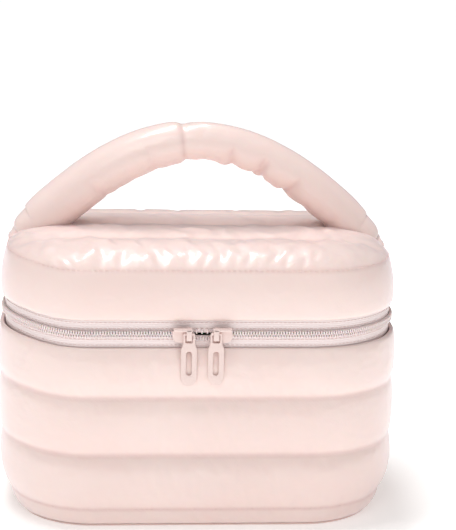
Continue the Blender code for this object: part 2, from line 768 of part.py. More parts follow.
# Each sewn end is a flat stub between the top seam and the turning end of the tube.
seam_x = BAG_WIDTH / 2 - LID_SEAM_INSETS[1]
slant = math.sqrt(0.5)
stub_top_x = HANDLE_HALF_SPAN + (HANDLE_END_RADIUS + HANDLE_END_CLEARANCE) * slant
stub_top_z = HANDLE_PIVOT - (HANDLE_END_RADIUS + HANDLE_END_CLEARANCE) * slant
handle_ends = []
for side_name, side in (("left", -1), ("right", 1)):
    name = "handle_end_" + side_name
    stub_outline = [
        (side * seam_x, LID_SEAM + 2 * GAP),
        (side * (stub_top_x + HANDLE_END_THICK * slant), stub_top_z + HANDLE_END_THICK * slant),
        (side * stub_top_x, stub_top_z),
        (side * (seam_x - HANDLE_END_THICK), LID_SEAM + 4 * GAP),
    ]
    stub = flat_curve(name, stub_outline)
    stub.fill_mode = "BOTH"
    stub.extrude = HANDLE_END_WIDTH / 2
    end = add_part(name, stub, PINK_CLOTH)
    end.rotation_euler.x = math.radians(90)
    handle_ends.append(end)

# ---- What moves with what ----

lid_frame = joint_frame("lid_frame", (0, HINGE_Y, ZIP_CENTRE))
handle_frame = joint_frame("handle_frame", (0, 0, HANDLE_PIVOT))
carry(pocket_slide_frame, pocket_slider, *pocket_fillers, pocket_pull_frame)
carry(pocket_pull_frame, pocket_pull)
carry(handle_frame, handle_cover, handle_core)
lid_names = (
    "lid_band",
    "lid_top_panel",
    "lid_wadding",
    "lid_top_wadding",
    "lid_lining_wall",
    "lid_lining_top",
    "lid_rim_binding",
    "zip_tape_upper",
    "zip_coil_upper",
    "hinge_strip_upper",
)
lid_pieces = [parts.objects[name] for name in lid_names]
carry(lid_frame, *lid_pieces, *handle_ends, *pocket_parts, pocket_slide_frame, handle_frame)
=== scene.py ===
"""The look of the padded makeup bag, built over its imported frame, in metres with +Z up.

The sections follow the order in which the bag is put together: base, quilted wall, lining, zip,
fabric hinge, lid, lid pocket, sliders and handle, and then the place it stands in.
"""

import json
import math

import bpy
import bmesh
import numpy as np
from mathutils import Matrix, Vector, noise


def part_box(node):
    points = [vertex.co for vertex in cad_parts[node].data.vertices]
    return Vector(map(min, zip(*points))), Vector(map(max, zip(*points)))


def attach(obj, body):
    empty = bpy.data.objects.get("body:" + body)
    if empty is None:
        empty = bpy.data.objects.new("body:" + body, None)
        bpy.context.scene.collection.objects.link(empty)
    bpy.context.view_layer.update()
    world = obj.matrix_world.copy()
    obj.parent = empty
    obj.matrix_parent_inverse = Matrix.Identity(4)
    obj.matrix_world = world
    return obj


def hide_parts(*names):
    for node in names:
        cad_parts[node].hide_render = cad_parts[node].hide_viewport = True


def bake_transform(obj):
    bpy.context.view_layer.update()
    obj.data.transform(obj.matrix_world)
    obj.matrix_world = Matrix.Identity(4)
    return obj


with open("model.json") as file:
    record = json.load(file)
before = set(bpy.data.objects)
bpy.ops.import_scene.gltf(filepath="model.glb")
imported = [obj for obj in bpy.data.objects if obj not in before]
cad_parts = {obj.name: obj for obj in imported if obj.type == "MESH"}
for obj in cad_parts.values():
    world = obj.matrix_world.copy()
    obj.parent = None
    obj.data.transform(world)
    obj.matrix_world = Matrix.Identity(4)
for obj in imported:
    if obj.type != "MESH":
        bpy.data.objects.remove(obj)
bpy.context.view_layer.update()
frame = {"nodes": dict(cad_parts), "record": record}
MM = 0.001

# ---- Base -------------------------------------------------------------------------------------
# The base is one panel of the same nylon as the walls, cut to the bag's plan with round corners,
# and sewn to the wall all round its edge. A greyboard inside keeps it flat on the table.

PLAN_HALF_WIDTH = 115 * MM
PLAN_HALF_DEPTH = 75 * MM
PLAN_RADIUS = 55 * MM
COLUMNS_FRONT = 84
COLUMNS_SIDE = 52
COLUMNS = 2 * (COLUMNS_FRONT + COLUMNS_SIDE)
ARC = PLAN_RADIUS * math.pi / 2
STRAIGHT_X = 2 * (PLAN_HALF_WIDTH - PLAN_RADIUS)
STRAIGHT_Y = 2 * (PLAN_HALF_DEPTH - PLAN_RADIUS)
ROUND_THE_BAG = 2 * (STRAIGHT_X + STRAIGHT_Y) + 4 * ARC


def rim(along):
    """Plan points and outward directions, along metres from the middle of the front, anticlockwise."""
    along = np.asarray(along, float) % ROUND_THE_BAG
    point = np.zeros((*along.shape, 2))
    outward = np.zeros((*along.shape, 2))
    start = 0.0
    centre_x = PLAN_HALF_WIDTH - PLAN_RADIUS
    centre_y = PLAN_HALF_DEPTH - PLAN_RADIUS
    legs = (
        ("line", STRAIGHT_X / 2, (0, -PLAN_HALF_DEPTH), -90),
        ("arc", ARC, (centre_x, -centre_y), -90),
        ("line", STRAIGHT_Y, (PLAN_HALF_WIDTH, -centre_y), 0),
        ("arc", ARC, (centre_x, centre_y), 0),
        ("line", STRAIGHT_X, (centre_x, PLAN_HALF_DEPTH), 90),
        ("arc", ARC, (-centre_x, centre_y), 90),
        ("line", STRAIGHT_Y, (-PLAN_HALF_WIDTH, centre_y), 180),
        ("arc", ARC, (-centre_x, -centre_y), 180),
        ("line", STRAIGHT_X / 2, (-centre_x, -PLAN_HALF_DEPTH), 270),
    )
    for kind, length, place, facing in legs:
        here = (along >= start) & (along < start + length + 1e-9)
        gone = along - start
        angle = np.radians(facing) + (gone / PLAN_RADIUS if kind == "arc" else 0 * gone)
        out = np.stack([np.cos(angle), np.sin(angle)], -1)
        if kind == "arc":
            spot = np.array(place) + PLAN_RADIUS * out
        else:
            spot = np.array(place) + gone[..., None] * np.stack([-np.sin(angle), np.cos(angle)], -1)
        point[here] = spot[here]
        outward[here] = out[here]
        start += length
    return point, outward


def ring_places():
    """Where the columns of a full ring stand: the four sides meet at the middles of the corners."""
    front_start = -(STRAIGHT_X + ARC) / 2
    side_start = front_start + STRAIGHT_X + ARC
    front = np.arange(COLUMNS_FRONT) / COLUMNS_FRONT * (STRAIGHT_X + ARC)
    side = np.arange(COLUMNS_SIDE) / COLUMNS_SIDE * (STRAIGHT_Y + ARC)
    half = ROUND_THE_BAG / 2
    half_ring = np.concatenate([front_start + front, side_start + side])
    return np.concatenate([half_ring, half_ring + half])


SETTLED_LIFT = 4.2 * MM
SETTLED_FROM_X = 69 * MM
SETTLED_FULL_Z = 120 * MM


def settled(x, height):
    """How far the soft bag is pushed up at its left end: not at the base, fully at the lid.

    It starts beyond the reach of the sliders, which run straight.
    """
    past = np.clip((-np.asarray(x) - SETTLED_FROM_X) / (PLAN_HALF_WIDTH - SETTLED_FROM_X), 0, 1)
    risen = np.clip(np.asarray(height) / SETTLED_FULL_Z, 0, 1)
    return SETTLED_LIFT * past * past * (3 - 2 * past) * risen


def ring(inset, height, places=None):
    """One row of points round the bag, at an inset from its fullest outline and at a height."""
    point, outward = rim(ring_places() if places is None else places)
    inset = np.broadcast_to(inset, point.shape[:1])
    height = np.broadcast_to(height, point.shape[:1])
    plan = point - outward * inset[:, None]
    return np.column_stack([plan, height + settled(plan[:, 0], height)])


def patch(row):
    """Rows of points that fill a ring from front to back, with the ring's own points as their rim."""
    loop = np.vstack([row, row[:1]])
    right_at = COLUMNS_FRONT
    back_at = right_at + COLUMNS_SIDE
    left_at = back_at + COLUMNS_FRONT
    front, right = loop[: right_at + 1], loop[right_at : back_at + 1]
    back, left = loop[back_at : left_at + 1][::-1], loop[left_at:][::-1]
    u = np.linspace(0, 1, COLUMNS_FRONT + 1)[None, :, None]
    v = np.linspace(0, 1, COLUMNS_SIDE + 1)[:, None, None]
    sides = (1 - v) * front[None] + v * back[None]
    sides = sides + (1 - u) * left[:, None] + u * right[:, None]
    corners = (1 - u) * (1 - v) * front[0] + u * (1 - v) * front[-1]
    corners = corners + (1 - u) * v * back[0] + u * v * back[-1]
    return sides - corners


def grids_mesh(name, grids, weld=0.01 * MM):
    """One smooth mesh from grids of points, each (rows, round, closed, flip), welded where they meet."""
    verts, faces = [], []
    for rows, around, closed, flip in grids:
        rows = np.asarray(rows, float)
        first = len(verts)
        count, width = rows.shape[:2]
        verts += rows.reshape(-1, 3).tolist()
        for r in range(count if closed else count - 1):
            for c in range(width if around else width - 1):
                a = first + r * width + c
                b = first + r * width + (c + 1) % width
                d = first + (r + 1) % count * width + c
                e = first + (r + 1) % count * width + (c + 1) % width
                faces.append((a, d, e, b) if flip else (a, b, e, d))
    mesh = bpy.data.meshes.new(name)
    mesh.from_pydata(verts, [], faces)
    if weld and len(grids) > 1:
        joined = bmesh.new()
        joined.from_mesh(mesh)
        bmesh.ops.remove_doubles(joined, verts=joined.verts, dist=weld)
        joined.to_mesh(mesh)
        joined.free()
    mesh.shade_smooth()
    return mesh


def place_piece(name, mesh, material, body, replaced=()):
    """Puts a finished mesh in the scene as a piece that rides on a body."""
    piece = bpy.data.objects.new(name, mesh)
    bpy.context.scene.collection.objects.link(piece)
    mesh.materials.clear()
    mesh.materials.append(material)
    if body:
        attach(piece, body)
    if replaced:
        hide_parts(*replaced)
    return piece


def linear(colour):
    """An sRGB hex colour as linear RGBA."""
    shares = [int(colour[at : at + 2], 16) / 255 for at in (1, 3, 5)]
    return (*[s / 12.92 if s <= 0.04045 else ((s + 0.055) / 1.055) ** 2.4 for s in shares], 1.0)


# A wave texture of scale 1 repeats every 0.314 of a unit, which is pi / 10.
WAVE_PERIOD = 0.314

# The colour mix node's sockets, by number: several of them share a name.
MIX_FACTOR = 0
MIX_FIRST = 6
MIX_SECOND = 7
MIX_COLOUR = 2


def add_node(tree, kind, settings=(), links=()):
    """Adds one node. A setting is a property, or an input named or numbered; links go to inputs."""
    node = tree.nodes.new(kind)
    for name, value in dict(settings).items():
        if isinstance(name, str) and hasattr(node, name):
            setattr(node, name, value)
        else:
            node.inputs[name].default_value = value
    for name, socket in dict(links).items():
        tree.links.new(socket, node.inputs[name])
    return node


def two_tones(tree, pattern, light, deep):
    """The colour socket of a mix between two colours, led by a pattern."""
    mix = add_node(
        tree,
        "ShaderNodeMix",
        {"data_type": "RGBA", MIX_FIRST: linear(light), MIX_SECOND: linear(deep)},
        {MIX_FACTOR: pattern},
    )
    return mix.outputs[MIX_COLOUR]


def waves(tree, place, period, direction):
    """A wave pattern whose bands are a real period apart."""
    settings = {"bands_direction": direction, "Scale": WAVE_PERIOD / period}
    return add_node(tree, "ShaderNodeTexWave", settings, {"Vector": place})


def start_material(name, settings):
    """A material with a Principled shader whose plain values are set, its tree and that shader."""
    material = bpy.data.materials.new(name)
    material.use_nodes = True
    shader = material.node_tree.nodes["Principled BSDF"]
    for key, value in settings.items():
        shader.inputs[key].default_value = value
    return material, material.node_tree, shader


def raise_surface(tree, shader, height, strength, distance):
    """Bumps a shader's surface by a pattern."""
    settings = {"Strength": strength, "Distance": distance}
    bump = add_node(tree, "ShaderNodeBump", settings, {"Height": height})
    tree.links.new(bump.outputs["Normal"], shader.inputs["Normal"])


def mottled(name, settings, scale, detail, light, deep, bump=None, rough=None):
    """A material whose colour wavers between two tones by a fine noise.

    The same noise can lead its bump, as (strength, distance), or its roughness, as (low, high).
    """
    material, tree, shader = start_material(name, settings)
    place = add_node(tree, "ShaderNodeTexCoord").outputs["Object"]
    grain = {"Scale": scale, "Detail": detail}
    fine = add_node(tree, "ShaderNodeTexNoise", grain, {"Vector": place}).outputs["Fac"]
    tree.links.new(two_tones(tree, fine, light, deep), shader.inputs["Base Color"])
    if bump:
        raise_surface(tree, shader, fine, *bump)
    if rough:
        span = {"To Min": rough[0], "To Max": rough[1]}
        worn = add_node(tree, "ShaderNodeMapRange", span, {"Value": fine})
        tree.links.new(worn.outputs["Result"], shader.inputs["Roughness"])
    return material


# Coated nylon: woven thin, then given a clear pearly film, so it is glossy with soft wide
# highlights and small crinkles. The film is what the coat and the low roughness stand for.
NYLON_LIGHT = "#F9E6E0"
NYLON_DEEP = "#F3D8D1"
# The colour of the painted shade in sewn creases and folds, not a colour of the cloth itself.
NYLON_SEAM_SHADE = "#E8CBC5"
NYLON_THREAD = 1.2 * MM
NYLON_CRINKLE = 11 * MM


def coated_nylon(name, crinkle=0.12):
    """Pale pink coated nylon. A painted shade darkens it along its seams and folds, led by the mesh's own
    seam attribute.
    """
    material, tree, shader = start_material(
        name,
        {
            "Roughness": 0.34,
            "IOR": 1.5,
            "Coat Weight": 0.35,
            "Coat Roughness": 0.1,
            "Sheen Weight": 0.3,
            "Sheen Roughness": 0.45,
            "Sheen Tint": linear("#DCCBE2"),
            "Subsurface Weight": 0.08,
            "Subsurface Scale": 0.004,
        },
    )
    place = add_node(tree, "ShaderNodeTexCoord").outputs["Object"]
    cloudy = add_node(tree, "ShaderNodeTexNoise", {"Scale": 14.0, "Detail": 3.0}, {"Vector": place})
    tint = two_tones(tree, cloudy.outputs["Fac"], NYLON_LIGHT, NYLON_DEEP)
    # The seam attribute says how strongly the painted crease shade covers the cloth's own tone.
    seam = add_node(tree, "ShaderNodeAttribute", {"attribute_name": "seam"})
    shaded = add_node(
        tree,
        "ShaderNodeMix",
        {"data_type": "RGBA", MIX_SECOND: linear(NYLON_SEAM_SHADE)},
        {MIX_FACTOR: seam.outputs["Fac"], MIX_FIRST: tint},
    )
    tree.links.new(shaded.outputs[MIX_COLOUR], shader.inputs["Base Color"])
    gloss = add_node(tree, "ShaderNodeTexNoise", {"Scale": 60.0, "Detail": 2.0}, {"Vector": place})
    rough = add_node(
        tree,
        "ShaderNodeMapRange",
        {"To Min": 0.28, "To Max": 0.42},
        {"Value": gloss.outputs["Fac"]},
    )
    tree.links.new(rough.outputs["Result"], shader.inputs["Roughness"])
    # The threads are drawn three times as coarse as they are: the real ones are too fine to show.
    warp = waves(tree, place, NYLON_THREAD, "DIAGONAL")
    folds = add_node(
        tree,
        "ShaderNodeTexNoise",
        {"Scale": 1 / NYLON_CRINKLE, "Detail": 3.0, "Roughness": 0.45, "Distortion": 0.8},
        {"Vector": place},
    )
    thread_bump = add_node(
        tree, "ShaderNodeBump", {"Strength": 0.03, "Distance": 0.0002}, {"Height": warp.outputs["Fac"]}
    )
    fold_bump = add_node(
        tree,
        "ShaderNodeBump",
        {"Strength": crinkle, "Distance": 0.003},
        {"Height": folds.outputs["Fac"], "Normal": thread_bump.outputs["Normal"]},
    )
    tree.links.new(fold_bump.outputs["Normal"], shader.inputs["Normal"])
    return material


def mark_seam_shade(mesh, lines, reach=1.1 * MM):
    """Writes the painted shade of sewn lines: how near each point is to one, as (axis, value, low, high) in
    the row frame.
    """
    co = np.zeros(len(mesh.vertices) * 3)
    mesh.vertices.foreach_get("co", co)
    co = co.reshape(-1, 3)
    co[:, 2] -= settled(co[:, 0], co[:, 2])
    near = np.zeros(len(co))
    for axis, value, low, high in lines:
        inside = (co[:, 2] >= low) & (co[:, 2] <= high)
        near = np.maximum(near, inside * np.exp(-(((co[:, axis] - value) / reach) ** 2)))
    mesh.attributes.new("seam", "FLOAT", "POINT").data.foreach_set("value", near)


nylon = coated_nylon("pearl_coated_nylon")

BASE_INSET = 10.7 * MM
BASE_THICK = 1.2 * MM
BASE_EDGE = 0.5 * MM
base_rows = [
    ring(BASE_INSET + BASE_EDGE, BASE_THICK),
    ring(BASE_INSET, BASE_THICK / 2),
    ring(BASE_INSET + BASE_EDGE, 0.0),
]
base_mesh = grids_mesh(
    "base_cloth",
    [
        (base_rows, True, False, True),
        (patch(base_rows[0]), False, False, False),
        (patch(base_rows[-1]), False, False, True),
    ],
)
mark_seam_shade(base_mesh, [])
base_cloth = place_piece("base_cloth", base_mesh, nylon, "base", ["bottom_panel"])

# Greyboard: pressed paper pulp, so dull and faintly fibrous. It is seen only if the base is cut open.
greyboard = mottled("pressed_greyboard", {"Roughness": 0.85}, 900.0, 4.0, "#8F8C86", "#A9A69F")
frame["nodes"]["base_board"].data.materials.clear()
frame["nodes"]["base_board"].data.materials.append(greyboard)

# ---- Quilted wall -----------------------------------------------------------------------------
# The wall is nylon quilted to polyester wadding in four level channels, the lowest one narrow.
# Each channel is fullest a little below its middle, because the wadding settles, and the cloth
# gathers into short puckers where the quilting stitches hold it.

WALL_SEAM_LEVELS = [1.5 * MM, 12 * MM, 45.5 * MM, 79 * MM, 108 * MM]
WALL_SEAM_INSETS = [9.6 * MM, 5.6 * MM, 2.9 * MM, 2.6 * MM, 2.8 * MM]
WALL_PUFF = [1.0 * MM, 3.5 * MM, 1.9 * MM, 1.8 * MM]
WALL_FULLEST = 0.3 * MM
END_CALM = 0.6
END_CALM_FROM = 12 * MM
END_CALM_OVER = 33.5 * MM
WALL_STEPS = [6, 14, 14, 12]
WALL_INNER = ((3.9, 108), (3.9, 103.8), (7.0, 102.5), (14.2, 5.6), (13.0, 1.6))
PUFF_SHAPE = 0.8
SETTLE = 0.92
SIM_SCALE = 10


def channel_rows(seams, puffs, steps):
    """(inset, height, held) of each row of a quilted wall; held is 1 on a seam."""
    rows = []
    for index, count in enumerate(steps):
        (inset_a, height_a), (inset_b, height_b) = seams[index], seams[index + 1]
        for step in range(count):
            share = step / count
            full = (4 * share**SETTLE * (1 - share**SETTLE)) ** PUFF_SHAPE
            inset = inset_a + (inset_b - inset_a) * share - puffs[index] * full
            rows.append((inset, height_a + (height_b - height_a) * share, 1.0 if step == 0 else 0.0))
    rows.append((*seams[-1], 1.0))
    return rows


def wall_row(inset, height, places=None):
    """A row of a quilted wall. Round the ends the cloth is pulled tighter, so it bulges less."""
    places = ring_places() if places is None else places
    sideways = rim(places)[1][:, 0] ** 2
    calm = 1 - END_CALM * sideways * np.clip((height - END_CALM_FROM) / END_CALM_OVER, 0, 1)
    return ring(WALL_FULLEST + (inset - WALL_FULLEST) * calm, height, places)


def puff_up(piece, held, pressure, spare, cap, frames=20):
    """Runs a cloth simulation on a piece under air pressure and keeps its result, moved by at most cap.

    held is how firmly each point is sewn down, and spare is how much wider the cloth is cut.
    """
    mesh = piece.data
    rest = np.zeros(len(mesh.vertices) * 3)
    mesh.vertices.foreach_get("co", rest)
    copy = mesh.copy()
    copy.vertices.foreach_set("co", rest * SIM_SCALE)
    stand_in = bpy.data.objects.new("simulated", copy)
    bpy.context.scene.collection.objects.link(stand_in)
    sewn = stand_in.vertex_groups.new(name="sewn")
    for index, weight in enumerate(held):
        if weight > 0:
            sewn.add([index], float(weight), "REPLACE")
    cloth = stand_in.modifiers.new("cloth", "CLOTH")
    cloth.settings.vertex_group_mass = "sewn"
    cloth.settings.mass = 0.02
    cloth.settings.quality = 6
    cloth.settings.tension_stiffness = 12
    cloth.settings.compression_stiffness = 12
    cloth.settings.shear_stiffness = 4
    cloth.settings.bending_stiffness = 0.15
    cloth.settings.air_damping = 2
    cloth.settings.use_pressure = True
    cloth.settings.uniform_pressure_force = pressure
    cloth.settings.shrink_min = -spare
    cloth.settings.effector_weights.gravity = 0
    cloth.point_cache.frame_start = 1
    cloth.point_cache.frame_end = frames
    for step in range(1, frames + 1):
        bpy.context.scene.frame_set(step)
    grown = stand_in.evaluated_get(bpy.context.evaluated_depsgraph_get()).to_mesh()
    moved = np.zeros(len(grown.vertices) * 3)
    grown.vertices.foreach_get("co", moved)
    shift = (moved / SIM_SCALE - rest).reshape(-1, 3)
    far = np.linalg.norm(shift, axis=1, keepdims=True)
    shift *= np.minimum(1, cap / np.maximum(far, 1e-9)) * (1 - np.asarray(held)[:, None])
    mesh.vertices.foreach_set("co", rest + shift.reshape(-1))
    bpy.data.objects.remove(stand_in)
    bpy.context.scene.frame_set(1)
    mesh.update()


def soften(piece, levels=1):
    """One subdivision, the same in the view and in the render."""
    smooth = piece.modifiers.new("smooth", "SUBSURF")
    smooth.levels = smooth.render_levels = levels
    return smooth


def uneven_along(places, height, period, rise, seed):
    """Noise along a row, with its own period round the bag and up it."""
    return np.array([noise.noise(Vector((a / period, height / rise, seed))) for a in places])


WALL_PUCKER = 0.55 * MM
WALL_PUCKER_REACH = 6 * MM
WALL_SWELL = 0.4 * MM
wall_seams = list(zip(WALL_SEAM_INSETS, WALL_SEAM_LEVELS))
wall_outer = channel_rows(wall_seams, WALL_PUFF, WALL_STEPS)
wall_places = ring_places()
wall_rows, wall_held = [], []
for row_index, (inset, height, seam_here) in enumerate(wall_outer):
    # Puckers stand across a seam and die away over the fullest part of the channel.
    nearest = min(abs(height - level) for level in WALL_SEAM_LEVELS)
    pucker = 0 if seam_here else WALL_PUCKER * math.exp(-nearest / WALL_PUCKER_REACH)
    ripple = uneven_along(wall_places, height, 7 * MM, 30 * MM, 0)
    swell = uneven_along(wall_places, height, 60 * MM, 40 * MM, 5)
    full = 0 if seam_here else WALL_SWELL
    wall_rows.append(wall_row(inset - pucker * ripple - full * swell, height, wall_places))
    wall_held += [seam_here] * COLUMNS
for inset, height in WALL_INNER:
    wall_rows.append(ring(inset * MM, height * MM, wall_places))
    wall_held += [1.0] * COLUMNS
wall_mesh = grids_mesh("quilted_wall", [(wall_rows, True, True, False)])
wall_nodes = ["body_shell", "body_wadding"]
wall = place_piece("quilted_wall", wall_mesh, nylon, "base", wall_nodes)
puff_up(wall, wall_held, pressure=3, spare=0.008, cap=0.9 * MM)
# Painted shade along the three quilting lines, where the cloth dips into the crease.
mark_seam_shade(wall_mesh, [(2, level, 0, 0.2) for level in WALL_SEAM_LEVELS[1:4]])
soften(wall)

# Polyester thread, a shade deeper than the cloth, in a lockstitch of about 3 mm that sinks
# into each quilting line.
STITCH_PITCH = 3.0 * MM
STITCH_LONG = 2.1 * MM
STITCH_RADIUS = 0.22 * MM
STITCH_SIDES = 6

thread, thread_tree, thread_shader = start_material(
    "pink_polyester_thread", {"Roughness": 0.55, "Sheen Weight": 0.2}
)
thread_place = add_node(thread_tree, "ShaderNodeTexCoord").outputs["Object"]
thread_twist = waves(thread_tree, thread_place, 0.4 * MM, "DIAGONAL")
thread_colour = two_tones(thread_tree, thread_twist.outputs["Fac"], "#F0D8D3", "#E7CAC5")
thread_tree.links.new(thread_colour, thread_shader.inputs["Base Color"])


def stitch_mesh(name, runs, pitch=STITCH_PITCH, long=STITCH_LONG, radius=STITCH_RADIUS):
    """Short spindles of thread laid end to end along runs of points."""
    verts, faces = [], []
    for run in runs:
        run = np.asarray(run, float)
        gone = np.concatenate([[0], np.cumsum(np.linalg.norm(np.diff(run, axis=0), axis=1))])
        for start in np.arange(pitch / 2, gone[-1] - long, pitch):
            head, tail = [
                np.array([np.interp(at, gone, run[:, k]) for k in range(3)]) for at in (start, start + long)
            ]
            ahead = (tail - head) / np.linalg.norm(tail - head)
            aside = np.cross(ahead, (0.3, 0.2, 1.0))
            aside /= np.linalg.norm(aside)
            other = np.cross(ahead, aside)
            first = len(verts)
            for share, swell in ((0, 0.35), (0.2, 1), (0.8, 1), (1, 0.35)):
                middle = head + (tail - head) * share
                for side in range(STITCH_SIDES):
                    turn = 2 * math.pi * side / STITCH_SIDES
                    spoke = aside * math.cos(turn) + other * math.sin(turn)
                    verts.append(tuple(middle + radius * swell * spoke))
            for r in range(3):
                for side in range(STITCH_SIDES):
                    a = first + r * STITCH_SIDES + side
                    b = first + r * STITCH_SIDES + (side + 1) % STITCH_SIDES
                    faces.append((a, b, b + STITCH_SIDES, a + STITCH_SIDES))
            faces.append(tuple(first + side for side in reversed(range(STITCH_SIDES))))
            faces.append(tuple(first + 3 * STITCH_SIDES + side for side in range(STITCH_SIDES)))
    mesh = bpy.data.meshes.new(name)
    mesh.from_pydata(verts, [], faces)
    mesh.shade_smooth()
    return mesh


def closed_run(inset, height):
    """A row of the quilted wall that ends where it began, for a line of stitches."""
    row = wall_row(inset, height)
    return np.vstack([row, row[:1]])


wall_runs = [closed_run(inset - 0.1 * MM, height) for inset, height in wall_seams[1:4]]
place_piece("wall_stitches", stitch_mesh("wall_stitches", wall_runs), thread, "base")

# ---- Lining, rim binding and end tabs of the body ---------------------------------------------
# A plain cream cotton-like polyester lines the wall and floor. Its top edge and the raw edges of
# the wadding are wrapped in a pale folded binding, and two short tabs cover the ends of the zip.

LINING_THICK = 0.6 * MM
LINING_THREAD = 1.0 * MM


def plain_weave(name, light, deep, thread_size, roughness=0.75):
    """A matt plain-woven cloth: two sets of threads that cross, with a faintly uneven dye."""
    material, tree, shader = start_material(name, {"Roughness": roughness, "Sheen Weight": 0.25})
    place = add_node(tree, "ShaderNodeTexCoord").outputs["Object"]
    uneven = add_node(tree, "ShaderNodeTexNoise", {"Scale": 25.0, "Detail": 4.0}, {"Vector": place})
    tree.links.new(two_tones(tree, uneven.outputs["Fac"], light, deep), shader.inputs["Base Color"])
    across = waves(tree, place, thread_size, "DIAGONAL")
    upward = waves(tree, place, thread_size, "Z")
    crossed = add_node(
        tree,
        "ShaderNodeMath",
        {"operation": "MAXIMUM"},
        {0: across.outputs["Fac"], 1: upward.outputs["Fac"]},
    )
    raise_surface(tree, shader, crossed.outputs[0], 0.25, 0.0003)
    return material


cream_lining = plain_weave("cream_woven_lining", "#FAF5E7", "#F5EEDB", LINING_THREAD)
cream_tape = plain_weave("cream_woven_binding", "#F4EFE2", "#EBE4D3", 0.9 * MM)


def lining_wall_rows(line, steps, thick, wave):
    """A thin wall of cloth: rows down its outer side and up its inner side."""
    (inset_a, height_a), (inset_b, height_b) = line
    places = ring_places()
    outer, inner = [], []
    for step in range(steps + 1):
        share = step / steps
        inset = inset_a + (inset_b - inset_a) * share
        height = height_a + (height_b - height_a) * share
        free = math.sin(math.pi * share)
        loose = uneven_along(places, height, 28 * MM, 22 * MM, 9)
        lean = wave * free * (0.5 + 0.5 * loose)
        outer.append(ring(inset + lean, height, places))
        inner.append(ring(inset + lean + thick, height, places))
    return outer + inner[::-1]


body_lining_line = ((15.0 * MM, 5.0 * MM), (7.7 * MM, 108.3 * MM))
body_lining_rows = lining_wall_rows(body_lining_line, 24, LINING_THICK, 0.5 * MM)
body_lining = place_piece(
    "body_lining",
    grids_mesh("body_lining", [(body_lining_rows, True, True, False)]),
    cream_lining,
    "base",
    ["body_lining_wall"],
)


def from_edge(x, y, inset):
    """How far a point of the plan lies inside the outline at an inset."""
    past_x = abs(x) - (PLAN_HALF_WIDTH - PLAN_RADIUS)
    past_y = abs(y) - (PLAN_HALF_DEPTH - PLAN_RADIUS)
    corner = math.hypot(max(0, past_x), max(0, past_y))
    return max(0, PLAN_RADIUS - inset - max(corner, past_x, past_y))


def flat_sheet(name, inset, low, thick, wave, scale):
    """A sheet of cloth over the whole plan at one level, lying almost flat."""
    edge_low, edge_high = ring(inset, low), ring(inset, low + thick)
    grids = [([edge_low, edge_high], True, False, False)]
    for row, up in ((edge_high, True), (edge_low, False)):
        points = patch(row)
        for r in range(1, points.shape[0] - 1):
            for c in range(1, points.shape[1] - 1):
                x, y = points[r, c, :2]
                free = min(1, from_edge(x, y, inset) / (15 * MM))
                points[r, c, 2] += wave * free * noise.noise(Vector((x / scale, y / scale, 3)))
        grids.append((points, False, False, not up))
    return grids_mesh(name, grids)


floor_lining = place_piece(
    "floor_lining",
    flat_sheet("floor_lining", 15.2 * MM, 4.2 * MM, 0.6 * MM, 0.25 * MM, 30 * MM),
    cream_lining,
    "base",
    ["body_lining_floor"],
)


def round_section(out_inset, in_inset, low, high, corner, steps=3):
    """A clockwise section with round corners, as (inset, height) points, for a folded edge."""
    points = []
    middles = (
        (out_inset + corner, high - corner, 180, 90),
        (in_inset - corner, high - corner, 90, 0),
        (in_inset - corner, low + corner, 0, -90),
        (out_inset + corner, low + corner, -90, -180),
    )
    for inset, height, start, end in middles:
        for step in range(steps + 1):
            turn = math.radians(start + (end - start) * step / steps)
            points.append((inset + corner * math.cos(turn), height + corner * math.sin(turn)))
    return points


def face_outward(mesh, close=False):
    """Turns all of a mesh's faces outward, and first closes its open ends if asked."""
    work = bmesh.new()
    work.from_mesh(mesh)
    if close:
        bmesh.ops.holes_fill(work, edges=[e for e in work.edges if e.is_boundary], sides=0)
    bmesh.ops.recalc_face_normals(work, faces=work.faces)
    work.to_mesh(mesh)
    work.free()


def swept(name, section, material, body, replaced, places=None):
    """A section carried round the bag, or along a stretch of its outline with closed ends."""
    rows = [ring(inset, height, places) for inset, height in section][::-1]
    mesh = grids_mesh(name, [(rows, places is None, True, False)])
    if places is not None:
        face_outward(mesh, close=True)
    mesh.set_sharp_from_angle(angle=math.radians(50))
    return place_piece(name, mesh, material, body, replaced)


BINDING_OUT = 5.1 * MM
BINDING_IN = 8.9 * MM
BINDING_TUCK = 1.5 * MM
BINDING_ROUND = 0.7 * MM
body_binding_low, body_binding_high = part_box("body_rim_binding")
swept(
    "body_binding",
    round_section(
        BINDING_OUT, BINDING_IN, body_binding_low.z - BINDING_TUCK, body_binding_high.z, BINDING_ROUND
    ),
    cream_tape,
    "base",
    ["body_rim_binding"],
)

